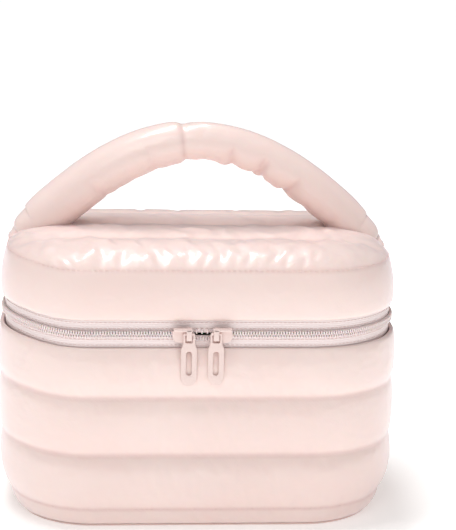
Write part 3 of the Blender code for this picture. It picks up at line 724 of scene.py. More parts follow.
TAB_ROWS = 13
TAB_COLUMNS = 7
for side_name in ("left", "right"):
    tab_low, tab_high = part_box("zip_end_tab_" + side_name)
    middle = (tab_low + tab_high) / 2
    half = (tab_high - tab_low) / 2
    tab_rows = []
    for layer in (-1, 1):
        sheet_rows = []
        for up in np.linspace(-1, 1, TAB_ROWS):
            # The tab narrows a little towards its sewn foot and bows off the lining.
            wide = half.x * (0.93 + 0.07 * up)
            bow = 0.5 * MM * math.cos(up * math.pi / 2)
            y = middle.y + layer * half.y - bow
            z = middle.z + half.z * up
            sheet_rows.append([(middle.x + wide * side, y, z) for side in np.linspace(-1, 1, TAB_COLUMNS)])
        tab_rows.append(np.array(sheet_rows))
    front_side, back_side = tab_rows
    edge = [
        [np.array([front_side[r, 0], back_side[r, 0]]) for r in range(TAB_ROWS)],
        [np.array([back_side[r, -1], front_side[r, -1]]) for r in range(TAB_ROWS)],
        [np.array([front_side[0, c], back_side[0, c]]) for c in range(TAB_COLUMNS)],
        [np.array([back_side[-1, c], front_side[-1, c]]) for c in range(TAB_COLUMNS)],
    ]
    tab_grids = [(front_side, False, False, False), (back_side, False, False, True)]
    tab_grids += [(np.array(strip), False, False, False) for strip in edge]
    tab_mesh = grids_mesh("end_tab_" + side_name, tab_grids)
    face_outward(tab_mesh)
    covered = ["zip_end_tab_" + side_name]
    place_piece("end_tab_" + side_name, tab_mesh, cream_tape, "base", covered)

# ---- Zip --------------------------------------------------------------------------------------
# A number 5 nylon coil zip: two woven tapes, ribbed along their length, each with half of a
# coiled monofilament sewn to its edge. It runs from one side of the fabric hinge to the other.

ZIP_MIDDLE = 115.5 * MM
HINGE_HALF = 51.3 * MM
TAPE_INSET = 4.3 * MM
TAPE_THICK = 0.5 * MM
TAPE_SPACING = 2.4 * MM
TOOTH_PITCH = 1.5 * MM
TOOTH_WIDE = 0.85 * MM
TOOTH_DEEP = 1.7 * MM
TOOTH_TALL = 2.5 * MM
TOOTH_HEAD = 1.0 * MM
TOOTH_ROUND = 0.45 * MM
TOOTH_OVERLAP = 0.45 * MM
# Half widths of a link's head and leg, as shares of TOOTH_WIDE: heads pass between the two opposite.
HEAD_SHARE = 0.34
LEG_SHARE = 0.62
TOOTH_SUNK = 0.25 * MM
LOWER_DRAWN_BACK = 0.95 * MM
UPPER_DRAWN_BACK = 0.5 * MM
MOUTH_HALF = 5.2 * MM
POST_PARTS = 8.9 * MM
TAPE_FAR = 8.6 * MM
TAPE_NEAR = 0.75 * MM
TAPE_STITCH_LEVELS = (3.1 * MM, 6.3 * MM)

zip_start = -(ROUND_THE_BAG / 2 - HINGE_HALF)
zip_end = -zip_start
zip_places = np.linspace(zip_start, zip_end, 230)

zip_tape, tape_tree, tape_shader = start_material(
    "pink_ribbed_zip_tape", {"Roughness": 0.62, "Sheen Weight": 0.3}
)
tape_place = add_node(tape_tree, "ShaderNodeTexCoord").outputs["Object"]
tape_ribs = waves(tape_tree, tape_place, 1.1 * MM, "Z")
tape_slubs = add_node(
    tape_tree, "ShaderNodeTexNoise", {"Scale": 700.0, "Detail": 2.0}, {"Vector": tape_place}
)
tape_colour = two_tones(tape_tree, tape_ribs.outputs["Fac"], "#F3E2E1", "#FAEEEC")
tape_tree.links.new(tape_colour, tape_shader.inputs["Base Color"])
tape_height = add_node(
    tape_tree,
    "ShaderNodeMath",
    {"operation": "ADD"},
    {0: tape_ribs.outputs["Fac"], 1: tape_slubs.outputs["Fac"]},
)
raise_surface(tape_tree, tape_shader, tape_height.outputs[0], 0.4, 0.0003)

# Nylon monofilament: smooth, slightly translucent and a little glossier than the tape.
coil_nylon = mottled(
    "pink_nylon_coil",
    {"Roughness": 0.38, "IOR": 1.53, "Subsurface Weight": 0.15, "Subsurface Scale": 0.001},
    400.0,
    2.0,
    "#F8EAE8",
    "#F1DEDC",
)


def add_link(verts, faces, near, far):
    """Adds one link to lists of points and faces, from the outlines of its two sides."""
    first, count = len(verts), len(near)
    verts += [*near, *far]
    for k in range(count):
        n = (k + 1) % count
        faces.append((first + k, first + n, first + count + n, first + count + k))
    faces.append(tuple(first + k for k in range(count)))
    faces.append(tuple(first + count + k for k in reversed(range(count))))


def teeth_mesh(name, up, offset):
    """One half of the coil as bent links; up is +1 on the lower tape, whose links reach upwards."""
    verts, faces = [], []
    for place in np.arange(zip_start + TOOTH_PITCH + offset, zip_end - TOOTH_PITCH, TOOTH_PITCH):
        (x, y), (out_x, out_y) = [pair[0] for pair in rim([place])]
        ahead = np.array([-out_y, out_x, 0.0])
        out = np.array([out_x, out_y, 0.0])
        foot = np.array([x, y, ZIP_MIDDLE]) - out * (TAPE_INSET - TOOTH_SUNK)
        middle = ZIP_MIDDLE + float(settled(foot[0], ZIP_MIDDLE))
        # Round a corner the links stand closer together by the tape's share of the radius.
        crowded = 1 - TAPE_INSET / PLAN_RADIUS if abs(out_x * out_y) > 1e-6 else 1.0
        # Between the two sliders' posts the halves stand apart. The lower links are drawn back, and
        # every other upper link in sight is left out, so that the gaps between the rest show dark.
        apart = abs(place) < POST_PARTS
        drawn_back = LOWER_DRAWN_BACK if up > 0 else UPPER_DRAWN_BACK
        reach = -drawn_back if apart else TOOTH_OVERLAP
        if abs(place) < MOUTH_HALF and up < 0 and round(place / TOOTH_PITCH - 0.25) % 2:
            continue
        section = (
            (0.0, reach - TOOTH_TALL),
            (0.75 * TOOTH_DEEP, reach - TOOTH_TALL),
            (TOOTH_DEEP, reach - TOOTH_TALL + 0.5 * MM),
            (TOOTH_DEEP, reach - TOOTH_ROUND),
            (0.8 * TOOTH_DEEP, reach),
            (0.25 * TOOTH_DEEP, reach),
            (0.0, reach - 0.4 * MM),
        )
        outlines = ([], [])
        for side, outline in zip((-1, 1), outlines):
            for depth, level in section:
                share = HEAD_SHARE if level > reach - TOOTH_HEAD else LEG_SHARE
                wide = TOOTH_WIDE * crowded * share
                spot = foot + out * depth + ahead * side * wide
                outline.append((spot[0], spot[1], middle + up * level))
        add_link(verts, faces, *outlines)
    mesh = bpy.data.meshes.new(name)
    mesh.from_pydata(verts, [], faces)
    face_outward(mesh)
    mesh.shade_smooth()
    mesh.set_sharp_from_angle(angle=math.radians(40))
    return mesh


def zip_half(part, body, up):
    """One tape, its half of the coil and its two rows of stitches."""
    tape_far = ZIP_MIDDLE - up * TAPE_FAR
    tape_near = ZIP_MIDDLE - up * TAPE_NEAR
    low, high = min(tape_far, tape_near), max(tape_far, tape_near)
    swept(
        "zip_tape_" + part + "_cloth",
        round_section(TAPE_INSET, TAPE_INSET + TAPE_THICK, low, high, 0.2 * MM, steps=2),
        zip_tape,
        body,
        ["zip_tape_" + part],
        zip_places,
    )
    coil_mesh = teeth_mesh("zip_links_" + part, up, 0 if up > 0 else TOOTH_PITCH / 2)
    covered = ["zip_coil_" + part]
    place_piece("zip_links_" + part, coil_mesh, coil_nylon, body, covered)
    runs = [
        ring(TAPE_INSET - 0.1 * MM, ZIP_MIDDLE - up * level, zip_places) for level in TAPE_STITCH_LEVELS
    ]
    rows = stitch_mesh("zip_stitches_" + part, runs, TAPE_SPACING, 1.7 * MM, 0.17 * MM)
    place_piece("zip_stitches_" + part, rows, thread, body)


zip_half("lower", "base", 1)
zip_half("upper", "lid", -1)

# ---- Fabric hinge -----------------------------------------------------------------------------
# Where the zip stops at the back, one strip of the pink nylon joins body and lid. The real strip is
# faced with lining on the inside and bends along its middle; here it is nylon all through, bowed a
# little along its middle but never bent. It is sewn along both of its long edges.

hinge_low, hinge_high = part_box("hinge_strip_lower")
hinge_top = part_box("hinge_strip_upper")[1].z
HINGE_BOW = 0.25 * MM
HINGE_WRINKLE = 0.12 * MM
HINGE_STITCH = 1.2 * MM
HINGE_ROWS = 24
HINGE_COLUMNS = 46

hinge_outside, hinge_inside = [], []
for row in range(HINGE_ROWS + 1):
    share = row / HINGE_ROWS
    height = hinge_low.z + (hinge_top - hinge_low.z) * share
    crease = HINGE_BOW * math.sin(math.pi * share)
    across = np.linspace(hinge_high.x, hinge_low.x, HINGE_COLUMNS)
    wrinkle = HINGE_WRINKLE * uneven_along(across, height, 7 * MM, 9 * MM, 2)
    level = np.full_like(across, height)
    hinge_outside.append(np.column_stack([across, hinge_high.y + crease + wrinkle, level]))
    hinge_inside.append(np.column_stack([across, hinge_low.y + crease + wrinkle, level]))
hinge_rows = hinge_outside + hinge_inside[::-1]
hinge_mesh = grids_mesh("fabric_hinge", [(hinge_rows, False, True, False)])
face_outward(hinge_mesh, close=True)
# Painted shade along the hinge's two sewn lines.
hinge_seams = [(2, level, 0, 0.2) for level in (hinge_low.z + HINGE_STITCH, hinge_top - HINGE_STITCH)]
mark_seam_shade(hinge_mesh, hinge_seams, 0.5 * MM)
fabric_hinge = place_piece(
    "fabric_hinge", hinge_mesh, nylon, None, ["hinge_strip_lower", "hinge_strip_upper"]
)
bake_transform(fabric_hinge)

# ---- Lid --------------------------------------------------------------------------------------
# The lid is a padded band topped by a puffy panel with four long channels that run left to
# right. It is the same nylon over wadding, more loosely filled, so it creases more.

LID_SEAM_LOW = 123 * MM
LID_SEAM_HIGH = 151 * MM
LID_INSETS = [2.8 * MM, 4.4 * MM]
LID_PUFF = 1.9 * MM
TOP_CROWN = 9.4 * MM
TOP_CROWN_REACH = 13 * MM
TOP_CHANNELS = 4
TOP_PUFF = 1.5 * MM
TOP_FADE = 20 * MM
LID_INNER = ((11.6, 146.1), (11.0, 144.5), (7.1, 128.6), (3.9, 127.2), (3.9, 123.2))

LID_LEAN = 1.6 * MM
LID_PUCKER = 0.15 * MM
LID_PUCKER_REACH = 5 * MM
CREASE_TALL = 1.7 * MM
CREASE_FADE = 7 * MM


def lid_row(inset, height, places=None):
    """A row of the lid's band. Its top leans in a little round the bag's ends."""
    places = ring_places() if places is None else places
    risen = np.clip((height - LID_SEAM_LOW) / (LID_SEAM_HIGH - LID_SEAM_LOW), 0, 1)
    return ring(inset + LID_LEAN * rim(places)[1][:, 0] ** 2 * risen, height, places)


lid_outer = channel_rows(list(zip(LID_INSETS, [LID_SEAM_LOW, LID_SEAM_HIGH])), [LID_PUFF], [12])
lid_places = ring_places()
lid_rows = [ring(inset * MM, height * MM, lid_places) for inset, height in LID_INNER]
for inset, height, seam_here in lid_outer:
    nearest = min(abs(height - LID_SEAM_LOW), abs(height - LID_SEAM_HIGH))
    pucker = 0 if seam_here else LID_PUCKER * math.exp(-nearest / LID_PUCKER_REACH)
    ripple = uneven_along(lid_places, height, 10 * MM, 30 * MM, 20)
    lid_rows.append(lid_row(inset - pucker * ripple, height, lid_places))

lid_top = patch(lid_rows[-1])
top_half_depth = PLAN_HALF_DEPTH - LID_INSETS[1]
for r in range(1, lid_top.shape[0] - 1):
    for c in range(1, lid_top.shape[1] - 1):
        x, y, z = lid_top[r, c]
        edge = max(0, from_edge(x, y, LID_INSETS[1]) - LID_LEAN * (x / PLAN_HALF_WIDTH) ** 4)
        crown = TOP_CROWN * (1 - math.exp(-edge / TOP_CROWN_REACH))
        across = (y + top_half_depth) / (2 * top_half_depth) * TOP_CHANNELS % 1
        forward = min(1, max(0, 0.5 - y / top_half_depth))
        puff = TOP_PUFF * (0.55 + 0.45 * forward) * (4 * across * (1 - across)) ** 0.6
        puff *= min(1, edge / TOP_FADE) ** 0.7
        # Creases in the loose cloth wander across the channels, here and there rather than all over.
        bent = noise.noise(Vector((x / (40 * MM), y / (30 * MM), 8))) * 16 * MM
        slant = Vector(((x + 0.8 * y + bent) / (15 * MM), (y - 0.4 * x + bent) / (24 * MM), 4))
        here = max(0, 0.55 + 1.3 * noise.noise(Vector((x / (22 * MM), y / (14 * MM), 15))))
        crease = (1 - abs(noise.noise(slant)) * 2) ** 3 * here * CREASE_TALL * min(1, edge / CREASE_FADE)
        lid_top[r, c, 2] = z + crown + puff + crease * (0.35 + 0.65 * forward)

lid_under = patch(lid_rows[0])
lid_mesh = grids_mesh(
    "padded_lid",
    [(lid_rows, True, False, False), (lid_top, False, False, False), (lid_under, False, False, True)],
)
lid = place_piece(
    "padded_lid",
    lid_mesh,
    nylon,
    "lid",
    ["lid_band", "lid_wadding", "lid_top_panel", "lid_top_wadding"],
)
# Sewn down: the whole inside, both edges of the band and the seams between the top's channels.
top_seams = [top_half_depth * (2 * k / TOP_CHANNELS - 1) for k in range(1, TOP_CHANNELS)]
inside_points = len(LID_INNER) * COLUMNS
under_level = LID_INNER[0][1] * MM
lid_held = []
for index, vertex in enumerate(lid_mesh.vertices):
    x, y, z = vertex.co
    z -= float(settled(x, z))
    in_plan = from_edge(x, y, LID_INNER[0][0] * MM) > 0
    inside = index < inside_points or abs(z - under_level) < 0.05 * MM and in_plan
    at_seam = abs(z - LID_SEAM_LOW) < 0.3 * MM or abs(z - LID_SEAM_HIGH) < 0.3 * MM
    from_seam = min(abs(y - line) for line in top_seams)
    quilted = z > LID_SEAM_HIGH + 0.5 * MM and from_seam < 1.4 * MM
    band_part = LID_SEAM_LOW < z < LID_SEAM_HIGH
    lid_held.append(1.0 if inside or at_seam or quilted else 0.6 if band_part else 0.0)
puff_up(lid, lid_held, pressure=3, spare=0.02, cap=1.3 * MM)
# Painted shade along the top seam of the band and along the seams between the top's channels.
lid_seam_shade = []
for vertex in lid_mesh.vertices:
    x, y, z = vertex.co
    z -= float(settled(x, z))
    near = 0.0
    if z < LID_SEAM_HIGH + 2 * MM:
        near = 0.35 * math.exp(-(((z - LID_SEAM_HIGH) / (0.9 * MM)) ** 2))
    if z > LID_SEAM_HIGH + 1 * MM:
        from_seam = min(abs(y - line) for line in top_seams)
        near = max(near, 0.25 * math.exp(-((from_seam / (1.1 * MM)) ** 2)))
    lid_seam_shade.append(near)
lid_mesh.attributes.new("seam", "FLOAT", "POINT").data.foreach_set("value", lid_seam_shade)
soften(lid)

# The top seam is stitched all round, in the same thread.
lid_edge = lid_row(LID_INSETS[1] - 0.1 * MM, LID_SEAM_HIGH)
lid_run = [np.vstack([lid_edge, lid_edge[:1]])]
place_piece("lid_stitches", stitch_mesh("lid_stitches", lid_run), thread, "lid")

# The lid has the same lining and binding as the body.
lid_lining_line = ((7.7 * MM, 122.9 * MM), (11.6 * MM, 144.6 * MM))
lid_lining_rows = lining_wall_rows(lid_lining_line, 10, LINING_THICK, 0.3 * MM)
lid_lining = place_piece(
    "lid_lining",
    grids_mesh("lid_lining", [(lid_lining_rows, True, True, False)]),
    cream_lining,
    "lid",
    ["lid_lining_wall"],
)

ceiling_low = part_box("lid_lining_top")[0]
ceiling_lining = place_piece(
    "ceiling_lining",
    flat_sheet("ceiling_lining", 12.0 * MM, ceiling_low.z + 0.1 * MM, 0.5 * MM, 0.15 * MM, 30 * MM),
    cream_lining,
    "lid",
    ["lid_lining_top"],
)

lid_binding_low, lid_binding_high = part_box("lid_rim_binding")
swept(
    "lid_binding",
    round_section(
        BINDING_OUT, BINDING_IN, lid_binding_low.z, lid_binding_high.z + BINDING_TUCK, BINDING_ROUND
    ),
    cream_tape,
    "lid",
    ["lid_rim_binding"],
)

# ---- Pocket in the lid ------------------------------------------------------------------------
# Under the ceiling lining lies a flat pocket: a small gold zip between two cream tapes, a peach
# cloth header, and a clear vinyl window, all held at the edge by a peach binding.

peach_cloth = plain_weave("peach_woven_cloth", "#F9E8D4", "#F3DCC2", 0.9 * MM, 0.7)

# Clear vinyl film: almost invisible, with a slightly wavy gloss and a faint warm tint.
vinyl = mottled(
    "clear_vinyl_film",
    {"Roughness": 0.06, "IOR": 1.53, "Alpha": 0.28, "Coat Weight": 0.3},
    35.0,
    1.0,
    "#F4EEE2",
    "#FBF7F0",
    bump=(0.5, 0.001),
)

POCKET_INSET = 19.3 * MM


def crosswise_sheet(name, node, wave, rows=18, columns=70):
    """A thin sheet in the plan of a CAD node, its sides following the pocket's round corners."""
    low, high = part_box(node)
    radius = PLAN_RADIUS - POCKET_INSET
    faces_up = []
    for z in (low.z, high.z):
        sheet_rows = []
        for y in np.linspace(low.y, high.y, rows):
            past = max(0, abs(y) - (PLAN_HALF_DEPTH - PLAN_RADIUS))
            half = PLAN_HALF_WIDTH - PLAN_RADIUS + math.sqrt(max(0, radius**2 - past**2))
            line = []
            for x in np.linspace(-half, half, columns):
                from_side = min(y - low.y, high.y - y)
                edge = max(0, min(1, (half - abs(x)) / (8 * MM), from_side / (4 * MM)))
                hang = wave * edge * (0.5 + 0.5 * noise.noise(Vector((x / 0.02, y / 0.02, 7))))
                line.append((x, y, z + float(settled(x, z)) - hang))
            sheet_rows.append(line)
        faces_up.append(np.array(sheet_rows))
    under, upper = faces_up
    rim_under = np.vstack([under[0], under[1:, -1], under[-1, ::-1][1:], under[::-1, 0][1:-1]])
    rim_upper = np.vstack([upper[0], upper[1:, -1], upper[-1, ::-1][1:], upper[::-1, 0][1:-1]])
    return grids_mesh(
        name,
        [
            (upper, False, False, False),
            (under, False, False, True),
            (np.array([rim_under, rim_upper]), True, False, False),
        ],
    )


for node, piece_name, material, slot_name, wave in (
    ("pocket_tape_front", "pocket_tape_near", cream_tape, "cream_tape", 0.0),
    ("pocket_tape_rear", "pocket_tape_far", cream_tape, "cream_tape", 0.0),
    ("pocket_header", "pocket_header_cloth", peach_cloth, "peach_cloth", 0.25 * MM),
    ("pocket_window", "pocket_window_film", vinyl, "clear_film", 0.4 * MM),
):
    cloth_mesh = crosswise_sheet(piece_name, node, wave)
    piece = place_piece(piece_name, cloth_mesh, material, "lid", [node])
    if wave:
        low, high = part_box(node)

peach_binding_low, peach_binding_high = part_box("pocket_binding")
swept(
    "pocket_edge_binding",
    round_section(16.0 * MM, 18.9 * MM, peach_binding_low.z, peach_binding_high.z, 0.6 * MM),
    peach_cloth,
    "lid",
    ["pocket_binding"],
)

# The pocket's coil is dyed gold-tan nylon, so it is smooth but not metallic.
gold_coil = mottled("gold_tan_nylon_coil", {"Roughness": 0.42}, 500.0, 2.0, "#CDA671", "#B88E58")

SMALL_PITCH = 1.2 * MM
SMALL_HALF = 0.35 * MM
for place_name, toward in (("front", 1), ("rear", -1)):
    low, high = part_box("pocket_coil_" + place_name)
    tooth_verts, tooth_faces = [], []
    shift = 0 if toward > 0 else SMALL_PITCH / 2
    near_y, far_y = (high.y, low.y) if toward > 0 else (low.y, high.y)
    for x in np.arange(low.x + SMALL_PITCH + shift, high.x - SMALL_PITCH, SMALL_PITCH):
        section = (
            (far_y, high.z),
            (far_y, low.z + 0.3 * MM),
            (near_y - toward * 0.3 * MM, low.z),
            (near_y + toward * 0.15 * MM, low.z + 0.35 * MM),
            (near_y, high.z),
        )
        outlines = [
            [(x + side * SMALL_HALF, y, z + float(settled(x, z))) for y, z in section] for side in (-1, 1)
        ]
        add_link(tooth_verts, tooth_faces, *outlines)
    small_teeth = bpy.data.meshes.new("pocket_links_" + place_name)
    small_teeth.from_pydata(tooth_verts, [], tooth_faces)
    face_outward(small_teeth)
    place_piece(
        "pocket_links_" + place_name,
        small_teeth,
        gold_coil,
        "lid",
        ["pocket_coil_" + place_name],
    )

# ---- Sliders and pulls ------------------------------------------------------------------------
# Die-cast zinc, sprayed with pink enamel: a slider is two plates joined by a post, with a crown
# that holds the pull. The long flat pulls have a slot. The pocket's small set is gold plated.

SLIDER_HALF = 5.75 * MM
SLIDER_TALL = 4.5 * MM
COIL_OUT = 2.1 * MM
RUNNING = 0.35 * MM
FRONT_PLATE = 1.1 * MM
BACK_PLATE = 0.9 * MM
PULL_THICK = 1.4 * MM
CROWN_WALL = 1.0 * MM
MOUTH_ROUND = 2.2 * MM
TAIL_ROUND = 2.6 * MM
TAIL_SHARE = 0.86
STRAP_HALF = 1.5 * MM
PULL_OFF_CENTRE = 3.4 * MM

# Enamel: an even sprayed coat, so a soft gloss with slight orange peel and no visible metal.
enamel = mottled(
    "sprayed_pink_enamel",
    {"Roughness": 0.36, "IOR": 1.5, "Coat Weight": 0.25, "Coat Roughness": 0.2},
    900.0,
    1.0,
    "#F1DCD6",
    "#EBD2CC",
    bump=(0.08, 0.0002),
)

# Gold plate: a true metal, lightly brushed by tumbling, so its highlights are a little broken.
gold = mottled(
    "tumbled_gold_plate",
    {"Metallic": 1.0, "Roughness": 0.3},
    600.0,
    3.0,
    "#D9B479",
    "#C29A5C",
    rough=(0.22, 0.42),
)


def cut_plate(loops, thick, edge):
    """A flat plate with holes and rounded edges, standing in XZ with its thickness along Y."""
    curve = bpy.data.curves.new("outline", "CURVE")
    curve.dimensions = "2D"
    curve.fill_mode = "BOTH"
    curve.extrude = thick / 2 - edge
    curve.bevel_depth = edge
    curve.bevel_resolution = 2
    curve.offset = -edge
    for loop in loops:
        spline = curve.splines.new("POLY")
        spline.points.add(len(loop) - 1)
        for point, (across, up) in zip(spline.points, loop):
            point.co = (across, up, 0, 1)
        spline.use_cyclic_u = True
    cutter = bpy.data.objects.new("outline", curve)
    bpy.context.scene.collection.objects.link(cutter)
    bpy.context.view_layer.update()
    mesh = bpy.data.meshes.new_from_object(cutter.evaluated_get(bpy.context.evaluated_depsgraph_get()))
    bpy.data.objects.remove(cutter)
    welded = bmesh.new()
    welded.from_mesh(mesh)
    bmesh.ops.remove_doubles(welded, verts=welded.verts, dist=0.001 * MM)
    bmesh.ops.rotate(welded, verts=welded.verts, matrix=Matrix.Rotation(math.radians(90), 3, "X"))
    welded.to_mesh(mesh)
    welded.free()
    return mesh


def soft_block(low, high, edge):
    """A cast block with rounded edges."""
    solid = bmesh.new()
    bmesh.ops.create_cube(solid, size=1)
    for vertex in solid.verts:
        vertex.co = [(a + b) / 2 + s * (b - a) for a, b, s in zip(low, high, vertex.co)]
    bmesh.ops.bevel(solid, geom=list(solid.edges), offset=edge, segments=3, profile=0.5, affect="EDGES")
    mesh = bpy.data.meshes.new("block")
    solid.to_mesh(mesh)
    solid.free()
    return mesh


def cast(name, meshes, matrix, material, body, replaced):
    """Joins several meshes into one cast piece, placed by a matrix."""
    whole = bmesh.new()
    for mesh in meshes:
        whole.from_mesh(mesh)
    bmesh.ops.transform(whole, verts=whole.verts, matrix=matrix)
    bmesh.ops.recalc_face_normals(whole, faces=whole.faces)
    mesh = bpy.data.meshes.new(name)
    whole.to_mesh(mesh)
    whole.free()
    mesh.shade_smooth()
    mesh.set_sharp_from_angle(angle=math.radians(42))
    return place_piece(name, mesh, material, body, replaced)


def slider_meshes(mouth, pull_out):
    """A slider about its own origin, on the tape's face at the zip's middle; -Y is out."""
    plate_low = COIL_OUT + RUNNING
    plate_mid = plate_low + FRONT_PLATE / 2
    crown_out = pull_out + PULL_THICK / 2 + RUNNING + CROWN_WALL
    # The plate is full at the mouth and narrows with rounded shoulders to the other end.
    shield = []
    for angle in np.linspace(-90, 90, 9):
        turn = math.radians(angle)
        across = SLIDER_HALF - MOUTH_ROUND + MOUTH_ROUND * math.cos(turn)
        shield.append((mouth * across, SLIDER_TALL * math.sin(turn)))
    for angle in np.linspace(90, 270, 13):
        turn = math.radians(angle)
        across = -SLIDER_HALF + TAIL_ROUND + TAIL_ROUND * math.cos(turn)
        shield.append((mouth * across, SLIDER_TALL * TAIL_SHARE * math.sin(turn)))
    front = cut_plate([shield], FRONT_PLATE, 0.3 * MM)
    front.transform(Matrix.Translation((0, -plate_mid, 0)))
    back = cut_plate([shield], BACK_PLATE, 0.25 * MM)
    back.transform(Matrix.Translation((0, 0.5 * MM + RUNNING + BACK_PLATE / 2, 0)))
    post_x = mouth * (SLIDER_HALF - 1.6 * MM)
    post = soft_block(
        (post_x - 0.9 * MM, -plate_mid, -0.3 * MM),
        (post_x + 0.9 * MM, 1.3 * MM, 0.3 * MM),
        0.1 * MM,
    )
    bar = soft_block(
        (-SLIDER_HALF + 0.6 * MM, -crown_out, 2.9 * MM),
        (SLIDER_HALF - 0.6 * MM, -plate_mid, 4.4 * MM),
        0.4 * MM,
    )
    strap_x = mouth * PULL_OFF_CENTRE
    strap = soft_block(
        (strap_x - STRAP_HALF, -crown_out, -2.2 * MM),
        (strap_x + STRAP_HALF, -crown_out + CROWN_WALL, 4.1 * MM),
        0.35 * MM,
    )
    foot = soft_block(
        (strap_x - STRAP_HALF, -crown_out + 0.4 * MM, -2.2 * MM),
        (strap_x + STRAP_HALF, -plate_mid, -0.9 * MM),
        0.25 * MM,
    )
    return [front, back, post, bar, strap, foot]


def pull_mesh(length, end_steps):
    """A flat pull hanging from the origin, with its eye and its long slot."""
    top, neck, wide = 0.65 * MM, 3.2 * MM, 4.4 * MM
    shoulder = top - 6.5 * MM - 2 * (wide - neck)
    end_middle = top - length + wide
    outer = [(neck - 0.6 * MM, top), (-neck + 0.6 * MM, top), (-neck, top - 0.6 * MM)]
    outer += [(-neck, top - 6.0 * MM), (-neck - 0.35 * MM, top - 7.0 * MM), (-wide, shoulder)]
    for step in range(end_steps + 1):
        turn = math.pi * (1 + step / end_steps)
        outer.append((wide * math.cos(turn), end_middle + wide * math.sin(turn)))
    outer += [(wide, shoulder), (neck + 0.35 * MM, top - 7.0 * MM)]
    outer += [(neck, top - 6.0 * MM), (neck, top - 0.6 * MM)]
    eye = [(2.1 * MM, -0.65 * MM), (-2.1 * MM, -0.65 * MM), (-2.1 * MM, -4.4 * MM)]
    eye += [(-1.6 * MM, -4.85 * MM), (1.6 * MM, -4.85 * MM), (2.1 * MM, -4.4 * MM)]
    slot = []
    slot_half = 1.55 * MM
    for middle, start in ((-9.65 * MM - slot_half, 0), (top - length + 6.05 * MM + slot_half, 180)):
        for step in range(9):
            turn = math.radians(start + 180 * step / 8)
            slot.append((slot_half * math.cos(turn), middle + slot_half * math.sin(turn)))
    return cut_plate([outer, eye, slot], PULL_THICK, 0.3 * MM)


tape_face_y = -PLAN_HALF_DEPTH + TAPE_INSET
pull_out = 5.15 * MM
joint_at = {joint["name"]: joint for joint in frame["record"]["behaviour"]["joints"]}
for side_name, side, end_steps in (("left", -1, 16), ("right", 1, 3)):
    swing = Vector(joint_at[side_name + "_pull_swing"]["pos_m"])
    slider_x = swing.x + side * PULL_OFF_CENTRE
    cast(
        "slider_" + side_name + "_cast",
        slider_meshes(-side, pull_out),
        Matrix.Translation((slider_x, tape_face_y, ZIP_MIDDLE)),
        enamel,
        side_name + "_slider",
        ["slider_" + side_name],
    )
    cast(
        "pull_" + side_name + "_cast",
        [pull_mesh(30 * MM, end_steps)],
        Matrix.Translation(swing),
        enamel,
        side_name + "_pull",
        ["pull_" + side_name],
    )

SMALL = 0.62
lying_small = Matrix.Rotation(math.radians(90), 4, "X") @ Matrix.Scale(SMALL, 4)
small_swing = Vector(joint_at["pocket_pull_swing"]["pos_m"])
small_slider_low, small_slider_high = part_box("pocket_slider")
small_sheet = small_swing.z + pull_out * SMALL
small_middle = (small_slider_low.x + small_slider_high.x) / 2
small_place = Vector((small_middle, small_swing.y + 1.2 * MM * SMALL, small_sheet))
cast(
    "pocket_slider_cast",
    slider_meshes(1, pull_out),
    Matrix.Translation(small_place) @ lying_small,
    gold,
    "pocket_zip_slider",
    ["pocket_slider"],
)
cast(
    "pocket_pull_cast",
    [pull_mesh(21 * MM, 12)],
    Matrix.Translation(small_swing) @ lying_small,
    gold,
    "pocket_zip_pull",
    ["pocket_pull"],
)

# ---- Handle -----------------------------------------------------------------------------------
# A tube of the same nylon stuffed with wadding, sewn across near its middle and pinched flat
# where its ends run into the lid's top seam. It is fuller to the left of the cross seam, and the
# cloth gathers on the inside of the bend.

HANDLE_HALF_SPAN = 95 * MM
HANDLE_FOOT = 161 * MM
HANDLE_RISE = 50 * MM
# How far each half's foot is drawn in, and how round its arch is.
HANDLE_LEFT = (2.5 * MM, 1.95)
HANDLE_RIGHT = (3 * MM, 1.8)
HANDLE_FULL_LEFT = 13.2 * MM
HANDLE_FULL_RIGHT = 11.9 * MM
HANDLE_SLIMMER = 1.2 * MM
HANDLE_SLIM_REACH = 35 * MM
HANDLE_END_THICK = 1.3 * MM
HANDLE_END_WIDE = 8.5 * MM
HANDLE_AROUND = 36
HANDLE_ALONG = 190
HANDLE_SEAM_X = -9 * MM
HANDLE_END_X = 109.6 * MM
HANDLE_END_Z = 151.2 * MM

centre_line = []
for share in np.linspace(-1, 1, 161):
    drawn_in, roundness = HANDLE_RIGHT if share > 0 else HANDLE_LEFT
    span = HANDLE_HALF_SPAN - drawn_in
    arch = 1 - abs(share) ** roundness
    centre_line.append((share * span, 0, HANDLE_FOOT + HANDLE_RISE * arch))
tail = [(HANDLE_END_X, 0, HANDLE_END_Z), (103.5 * MM, 0, 154.2 * MM), (99.8 * MM, 0, 157.3 * MM)]
centre_line = [(-x, y, z) for x, y, z in tail] + centre_line + tail[::-1]
centre_line = np.array(centre_line)
gone = np.concatenate([[0], np.cumsum(np.linalg.norm(np.diff(centre_line, axis=0), axis=1))])
stops = np.linspace(0, gone[-1], HANDLE_ALONG)
spine = np.column_stack([np.interp(stops, gone, centre_line[:, k]) for k in range(3)])
spine[:, 2] += settled(spine[:, 0], spine[:, 2])
heading = np.gradient(spine, axis=0)
heading /= np.linalg.norm(heading, axis=1, keepdims=True)

# Folds where the cloth is too long for the inside of the bend: place along X, depth, slant.
HANDLE_FOLDS = (
    (22 * MM, 2.0 * MM, 0.5),
    (34 * MM, 3.0 * MM, -0.8),
    (41 * MM, 3.2 * MM, 0.7),
    (53 * MM, 2.6 * MM, -0.7),
    (-26 * MM, 0.7 * MM, 0.4),
    (-58 * MM, 1.0 * MM, 0.5),
)
HANDLE_FOLD_WIDTH = 1.7 * MM
